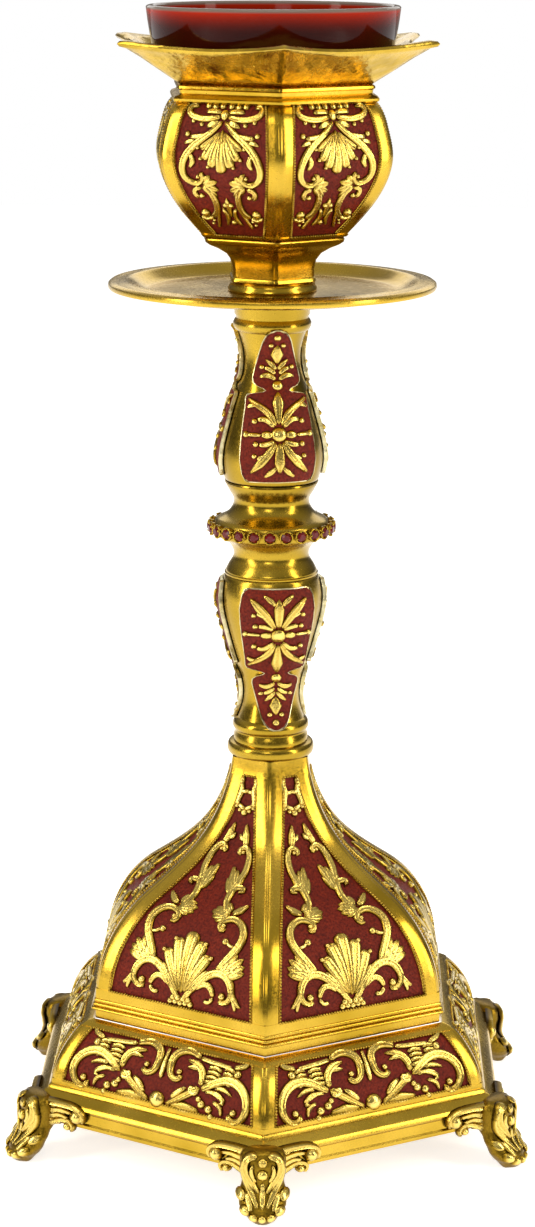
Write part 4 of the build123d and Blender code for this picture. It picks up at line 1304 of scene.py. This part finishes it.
def makeStoneTrees():
    tree, graph, given = newTree("claspedRing", [
        ("Stones", "NodeSocketInt"), ("Ring radius", "NodeSocketFloat"), ("Cup radius", "NodeSocketFloat"),
        ("Wire radius", "NodeSocketFloat"), ("Claw radius", "NodeSocketFloat"),
        ("Cup depth", "NodeSocketFloat"),
    ])

    def hoop(radius, height):
        circle = graph.node("GeometryNodeCurvePrimitiveCircle", {}, {"Resolution": 18, "Radius": radius})
        wire = graph.node("GeometryNodeCurvePrimitiveCircle", {},
                          {"Resolution": 7, "Radius": given["Wire radius"]})
        tube = graph.node("GeometryNodeCurveToMesh", {}, {"Curve": circle, "Profile Curve": wire})
        place = graph.node("ShaderNodeCombineXYZ", {}, {"Z": height})
        return graph.node("GeometryNodeTransform", {}, {"Geometry": tube, "Translation": place})

    join = graph.tree.nodes.new("GeometryNodeJoinGeometry")
    parts = [
        hoop(given["Cup radius"], given["Cup depth"] * 0.75),
        hoop(given["Cup radius"] * 0.86, given["Cup depth"] * 0.2),
    ]
    wall = graph.node("GeometryNodeMeshCylinder", {"fill_type": "NONE"}, {
        "Vertices": 18, "Radius": given["Cup radius"] * 0.92, "Depth": given["Cup depth"],
    })
    lifted = graph.node("GeometryNodeTransform", {}, {
        "Geometry": wall, "Translation": graph.node("ShaderNodeCombineXYZ", {},
                                                    {"Z": given["Cup depth"] * 0.4}),
    })
    thick = graph.node("GeometryNodeExtrudeMesh", {"mode": "FACES"}, {
        "Mesh": lifted, "Offset Scale": given["Wire radius"] * 0.5, "Individual": False,
    })
    parts.append(thick)
    clawSpots = graph.node("GeometryNodeMeshCircle", {},
                           {"Vertices": 4, "Radius": given["Cup radius"] * 0.93})
    claw = graph.node("GeometryNodeMeshIcoSphere", {}, {"Radius": given["Claw radius"], "Subdivisions": 2})
    claws = graph.node("GeometryNodeInstanceOnPoints", {}, {
        "Points": clawSpots, "Instance": claw, "Scale": Vector((1.0, 1.0, 1.5)),
    })
    parts.append(graph.node("GeometryNodeTransform", {}, {
        "Geometry": claws, "Translation": graph.node("ShaderNodeCombineXYZ", {},
                                                     {"Z": given["Cup depth"] * 0.95}),
        "Rotation": Vector((0.0, 0.0, math.pi / 4)),
    }))
    for part in parts:
        graph.tree.links.new(part.socket, join.inputs["Geometry"])
    unit = Value(graph, join.outputs["Geometry"])
    ring = graph.node("GeometryNodeMeshCircle", {},
                      {"Vertices": given["Stones"], "Radius": given["Ring radius"]})
    spot = graph.node("GeometryNodeInputPosition")
    outward = graph.node("FunctionNodeAlignRotationToVector", {"axis": "Z"}, {"Vector": spot})
    placed = graph.node("GeometryNodeInstanceOnPoints", {},
                        {"Points": ring, "Instance": unit, "Rotation": outward})
    endTree(graph, placed, turnedGilt)
    return tree


def makeStoneRing():
    tree = makeStoneTrees()
    spacing = {"Stones": stones["count"], "Ring radius": stones["ring"] * mm,
               "Cup radius": stones["cup"] * mm, "Wire radius": stones["wire"] * mm,
               "Claw radius": stones["claw"] * mm, "Cup depth": stones["depth"] * mm}
    ring = grown("stoneCollets", tree, spacing, ["stone_collets"])
    ring.data.transform(Matrix.Translation((0, 0, stem["centre"] * mm)))
    tree, graph, given = newTree("stoneRing", [
        ("Stones", "NodeSocketInt"), ("Ring radius", "NodeSocketFloat"), ("Stone radius", "NodeSocketFloat"),
    ])
    crown = graph.node("GeometryNodeMeshCone", {}, {
        "Vertices": 8, "Radius Top": given["Stone radius"] * 0.58, "Radius Bottom": given["Stone radius"],
        "Depth": given["Stone radius"] * 0.42, "Side Segments": 1,
    })
    spot = graph.node("GeometryNodeInputPosition")
    outward = graph.node("FunctionNodeAlignRotationToVector", {"axis": "Z"}, {"Vector": spot})
    ringPoints = graph.node("GeometryNodeMeshCircle", {}, {
        "Vertices": given["Stones"], "Radius": given["Ring radius"] + stones["proud"] * mm,
    })
    placed = graph.node("GeometryNodeInstanceOnPoints", {},
                        {"Points": ringPoints, "Instance": crown, "Rotation": outward})
    endTree(graph, placed, redStone)
    gems = grown("stoneRing", tree, {
        "Stones": stones["count"], "Ring radius": stones["ring"] * mm, "Stone radius": stones["stone"] * mm,
    }, ["stones"])
    gems.data.transform(Matrix.Translation((0, 0, stem["centre"] * mm)))
    gems.data.shade_flat()


makeStoneRing()
print("stones set")


# Drip pan, bowl and glass

pan = {
    "outline": [(4.0, 278.2), (40.0, 278.2), (43.0, 279.6), (45.6, 281.3), (48.0, 281.7), (50.4, 281.3),
                (51.6, 280.4), (52.3, 280.3), (52.6, 281.0), (52.4, 281.9), (51.6, 282.5), (50.2, 282.6),
                (47.8, 282.6), (46.8, 282.9), (46.1, 282.7), (45.2, 282.1), (43.2, 280.6), (41.6, 279.6),
                (40.2, 279.3), (39.6, 279.3), (4.0, 279.3)],
}
seat = {"outline": [(4.0, 279.3), (14.0, 279.3), (14.3, 279.8), (14.2, 280.5), (13.7, 281.1),
                    (13.6, 281.6), (13.6, 282.1), (13.2, 282.5), (4.0, 282.5)]}


def makePan():
    shape = Shape()
    lathe(shape, pan["outline"], 144)
    addPiece("dripPan", shape, polishedGilt, ["drip_pan"])
    shape = Shape()
    lathe(shape, seat["outline"], 96)
    addPiece("seatRing", shape, polishedGilt, ["bowl_seat_ring"])


bowlFoot = {
    "side": [(15.0, 282.5), (15.5, 283.0), (15.4, 283.9), (14.9, 284.4), (14.9, 287.0), (15.6, 289.8),
             (17.4, 292.0), (20.6, 293.8), (23.6, 295.0), (25.2, 296.0), (25.5, 296.8), (25.2, 297.5),
             (24.6, 298.0)],
    "inside": [(10.6, 284.0), (12.6, 289.2), (17.0, 293.6), (19.4, 295.6), (19.6, 298.0)],
    "bore": [(3.3, 284.0), (3.3, 282.5)], "rounding": 2.2,
}


def makeBowlFoot():
    outer = [(r * faceRatio, z) for r, z in bowlFoot["side"]]
    inside = smooth(bowlFoot["inside"], 14)
    outline = outer + [tuple(p) for p in inside[::-1]] + bowlFoot["bore"]
    shape = Shape()
    hexWall(shape, outline, bowlFoot["rounding"], math.radians(bowl["turn"]))
    addPiece("bowlFoot", shape, polishedGilt, ["bowl_foot"])


def makeBowl():
    turn = math.radians(bowl["turn"])
    foot, low, high = bowl["side"][0][1], bowl["sillTop"], bowl["headBottom"]
    shape = Shape()
    cornerBars(shape, bowlTier, bowl, bowlTier.up(bowl["barLow"]), bowlTier.up(bowl["barHigh"]), 44)
    hexWall(shape, bandOutline(bowlTier, foot, low, 0.35, -bowl["wall"], 4), 1.0, turn)
    outline = [(r * faceRatio, z) for r, z in bowl["neckOutside"]] + bowl["neckInside"]
    hexWall(shape, outline, 1.6, turn)
    hexWall(shape, bandOutline(bowlTier, foot + 0.4, high + 1, -bowl["backing"], -bowl["wall"], 30), 1.0,
            turn)
    addPiece("bowlShell", shape, polishedGilt, ["bowl_body"])
    shape = Shape()
    panelPlates(shape, bowlTier, bowl, 40)
    addPiece("bowlEnamel", shape, brickEnamel, numbered("bowl_enamel"))
    makeBeads("bowlBeads", beadTree, bowlTier, bowl)
    makeOrnament("bowlOrnament", bowlMotif(), bowlTier, bowl, "bowl_filigree")


flare = {
    "corner": [(34.4, 345.4), (36.6, 346.7), (42.0, 349.9), (48.6, 353.9), (53.6, 356.6), (56.2, 357.3),
               (57.0, 358.1), (56.2, 358.9), (53.4, 359.2), (48.0, 357.4), (41.0, 353.4), (35.0, 349.0),
               (32.7, 347.2), (32.7, 345.4)],
    "middle": [(29.8, 345.4), (31.4, 346.7), (35.2, 349.4), (39.4, 352.6), (42.0, 354.6), (43.2, 355.5),
               (43.6, 356.2), (43.1, 357.0), (42.0, 357.0), (40.6, 355.8), (36.9, 352.1), (31.0, 348.8),
               (28.3, 347.2), (28.3, 345.4)],
    "point": 1.7,  # how sharply the sides run out into the corners
}


def makeFlare():
    turn = math.radians(bowl["turn"])
    rows = []
    for (cornerOut, cornerUp), (middleOut, middleUp) in zip(flare["corner"], flare["middle"]):
        row = []
        for side in range(6):
            angle = side * sixth + turn
            for k in range(24):
                s = -1 + 2 * k / 24
                pull = abs(s) ** flare["point"]
                away = middleOut + (cornerOut * faceRatio - middleOut) * pull
                across = s * cornerOut / 2
                up = middleUp + (cornerUp - middleUp) * pull
                row.append((
                    away * math.cos(angle) - across * math.sin(angle),
                    away * math.sin(angle) + across * math.cos(angle), up,
                ))
        rows.append(row)
    shape = Shape()
    shape.grid(rows, wrapRows=True, wrapColumns=True)
    addPiece("bowlFlare", shape, hammeredGilt, ["bowl_flare"], sharp=50)


glassCup = {
    "outer": [(18.6, 304.0), (21.4, 307.5), (27.4, 345.4), (28.0, 347.4), (36.2, 351.9), (37.5, 353.0),
              (38.6, 358.6), (39.5, 364.2), (40.0, 368.2)],
    "inner": [(37.8, 368.2), (37.3, 364.2), (36.4, 358.6), (35.4, 354.8), (34.6, 353.4), (26.8, 348.8),
              (25.0, 346.2), (19.4, 308.6), (18.2, 307.0)],
    "lip": ((38.9, 368.1), (1.1, 0.7)),  # middle of its round, half width and height
}


def makeGlass():
    (reach, height), (wide, tall) = glassCup["lip"]
    lip = [(reach + wide * math.cos(a), height + tall * math.sin(a)) for a in np.linspace(0.15,
                                                                                          math.pi - 0.15, 7)]
    bottom = [(0.01, glassCup["inner"][-1][1]), (0.01, glassCup["outer"][0][1])]
    shape = Shape()
    lathe(shape, glassCup["outer"] + lip + glassCup["inner"] + bottom, 128)
    addPiece("glassCup", shape, rubyGlass, ["glass_cup"], "glass")


makePan()
makeBowlFoot()
makeBowl()
makeFlare()
makeGlass()
for name in ("tie_rod", "base_nut", "base_washer", "bowl_nut", "foot_screws"):
    nodes[name].data.materials.clear()
    nodes[name].data.materials.append(platedSteel)
print("bowl, pan and glass built")


# Floor, light and world

def makeStage():
    floorMesh = bpy.data.meshes.new("floor")
    reach = 3.0
    corners = [(-reach, -reach, 0), (reach, -reach, 0), (reach, reach, 0), (-reach, reach, 0)]
    floorMesh.from_pydata(corners, [], [(0, 1, 2, 3)])
    material, graph, coords = newMaterial("paleFloor")
    speck = graph.noise(coords, 40, 2.0)
    base = graph.blend(speck, colour(246, 246, 245), colour(250, 250, 249))
    shade(graph, {"Base Color": base, "Roughness": 0.8, "Emission Color": colour(255, 255, 255),
                  "Emission Strength": 0.72})
    floorMesh.materials.append(material)
    floor = bpy.data.objects.new("floor", floorMesh)
    bpy.context.scene.collection.objects.link(floor)


lamps = [  # name, place, size across and up, power, colour
    ("keyLeft", (-1.0, -0.5, 0.62), (0.22, 0.95), 7.4, (1.0, 0.93, 0.82)),
    ("keyRight", (1.0, -0.42, 0.55), (0.22, 0.95), 6.4, (1.0, 0.93, 0.82)),
    ("front", (-0.25, -1.7, 1.0), (0.5, 0.5), 4.6, (1.0, 0.96, 0.90)),
    ("top", (0.0, -0.2, 1.5), (0.7, 0.7), 6.0, (1.0, 1.0, 1.0)),
    ("rimBack", (0.1, 1.3, 0.8), (1.4, 0.5), 3.2, (1.0, 1.0, 1.0)),
]


def makeLights():
    for name, place, (wide, tall), power, tint in lamps:
        light = bpy.data.lights.new(name, "AREA")
        light.shape = "RECTANGLE"
        light.size, light.size_y = wide, tall
        light.energy = power
        light.color = tint
        lamp = bpy.data.objects.new(name, light)
        lamp.location = place
        aim = Vector((0, 0, 0.19)) - Vector(place)
        lamp.rotation_euler = aim.to_track_quat("-Z", "Y").to_euler()
        bpy.context.scene.collection.objects.link(lamp)


def makeWorld():
    world = bpy.data.worlds.new("studio")
    world.use_nodes = True
    world.node_tree.nodes.clear()
    graph = Graph(world.node_tree)
    coords = graph.node("ShaderNodeTexCoord", output=0)
    up = graph.node("ShaderNodeSeparateXYZ", {}, {"Vector": coords}, output=2)
    soft = graph.ramp(graph.span(up, -1.0, 1.0), [
        (0.0, (0.44, 0.43, 0.40, 1)), (0.46, (0.36, 0.35, 0.32, 1)), (0.56, (0.13, 0.125, 0.11, 1)),
        (0.85, (0.54, 0.53, 0.51, 1)),
    ])
    plain = graph.node("ShaderNodeBackground", {}, {"Color": (1.0, 1.0, 1.0, 1.0), "Strength": 1.0})
    around = graph.node("ShaderNodeBackground", {}, {"Color": soft, "Strength": 1.0})
    seen = graph.node("ShaderNodeLightPath", output=0)
    mixed = graph.node("ShaderNodeMixShader", {}, {0: seen, 1: around, 2: plain})
    graph.node("ShaderNodeOutputWorld", {}, {"Surface": mixed})
    bpy.context.scene.world = world


makeStage()
makeLights()
makeWorld()
bpy.context.scene.view_settings.view_transform = "Standard"

for piece in bpy.data.objects:
    if piece.type == "MESH" and piece.name not in nodes:
        print(piece.name, sum(len(face.vertices) - 2 for face in piece.data.polygons))
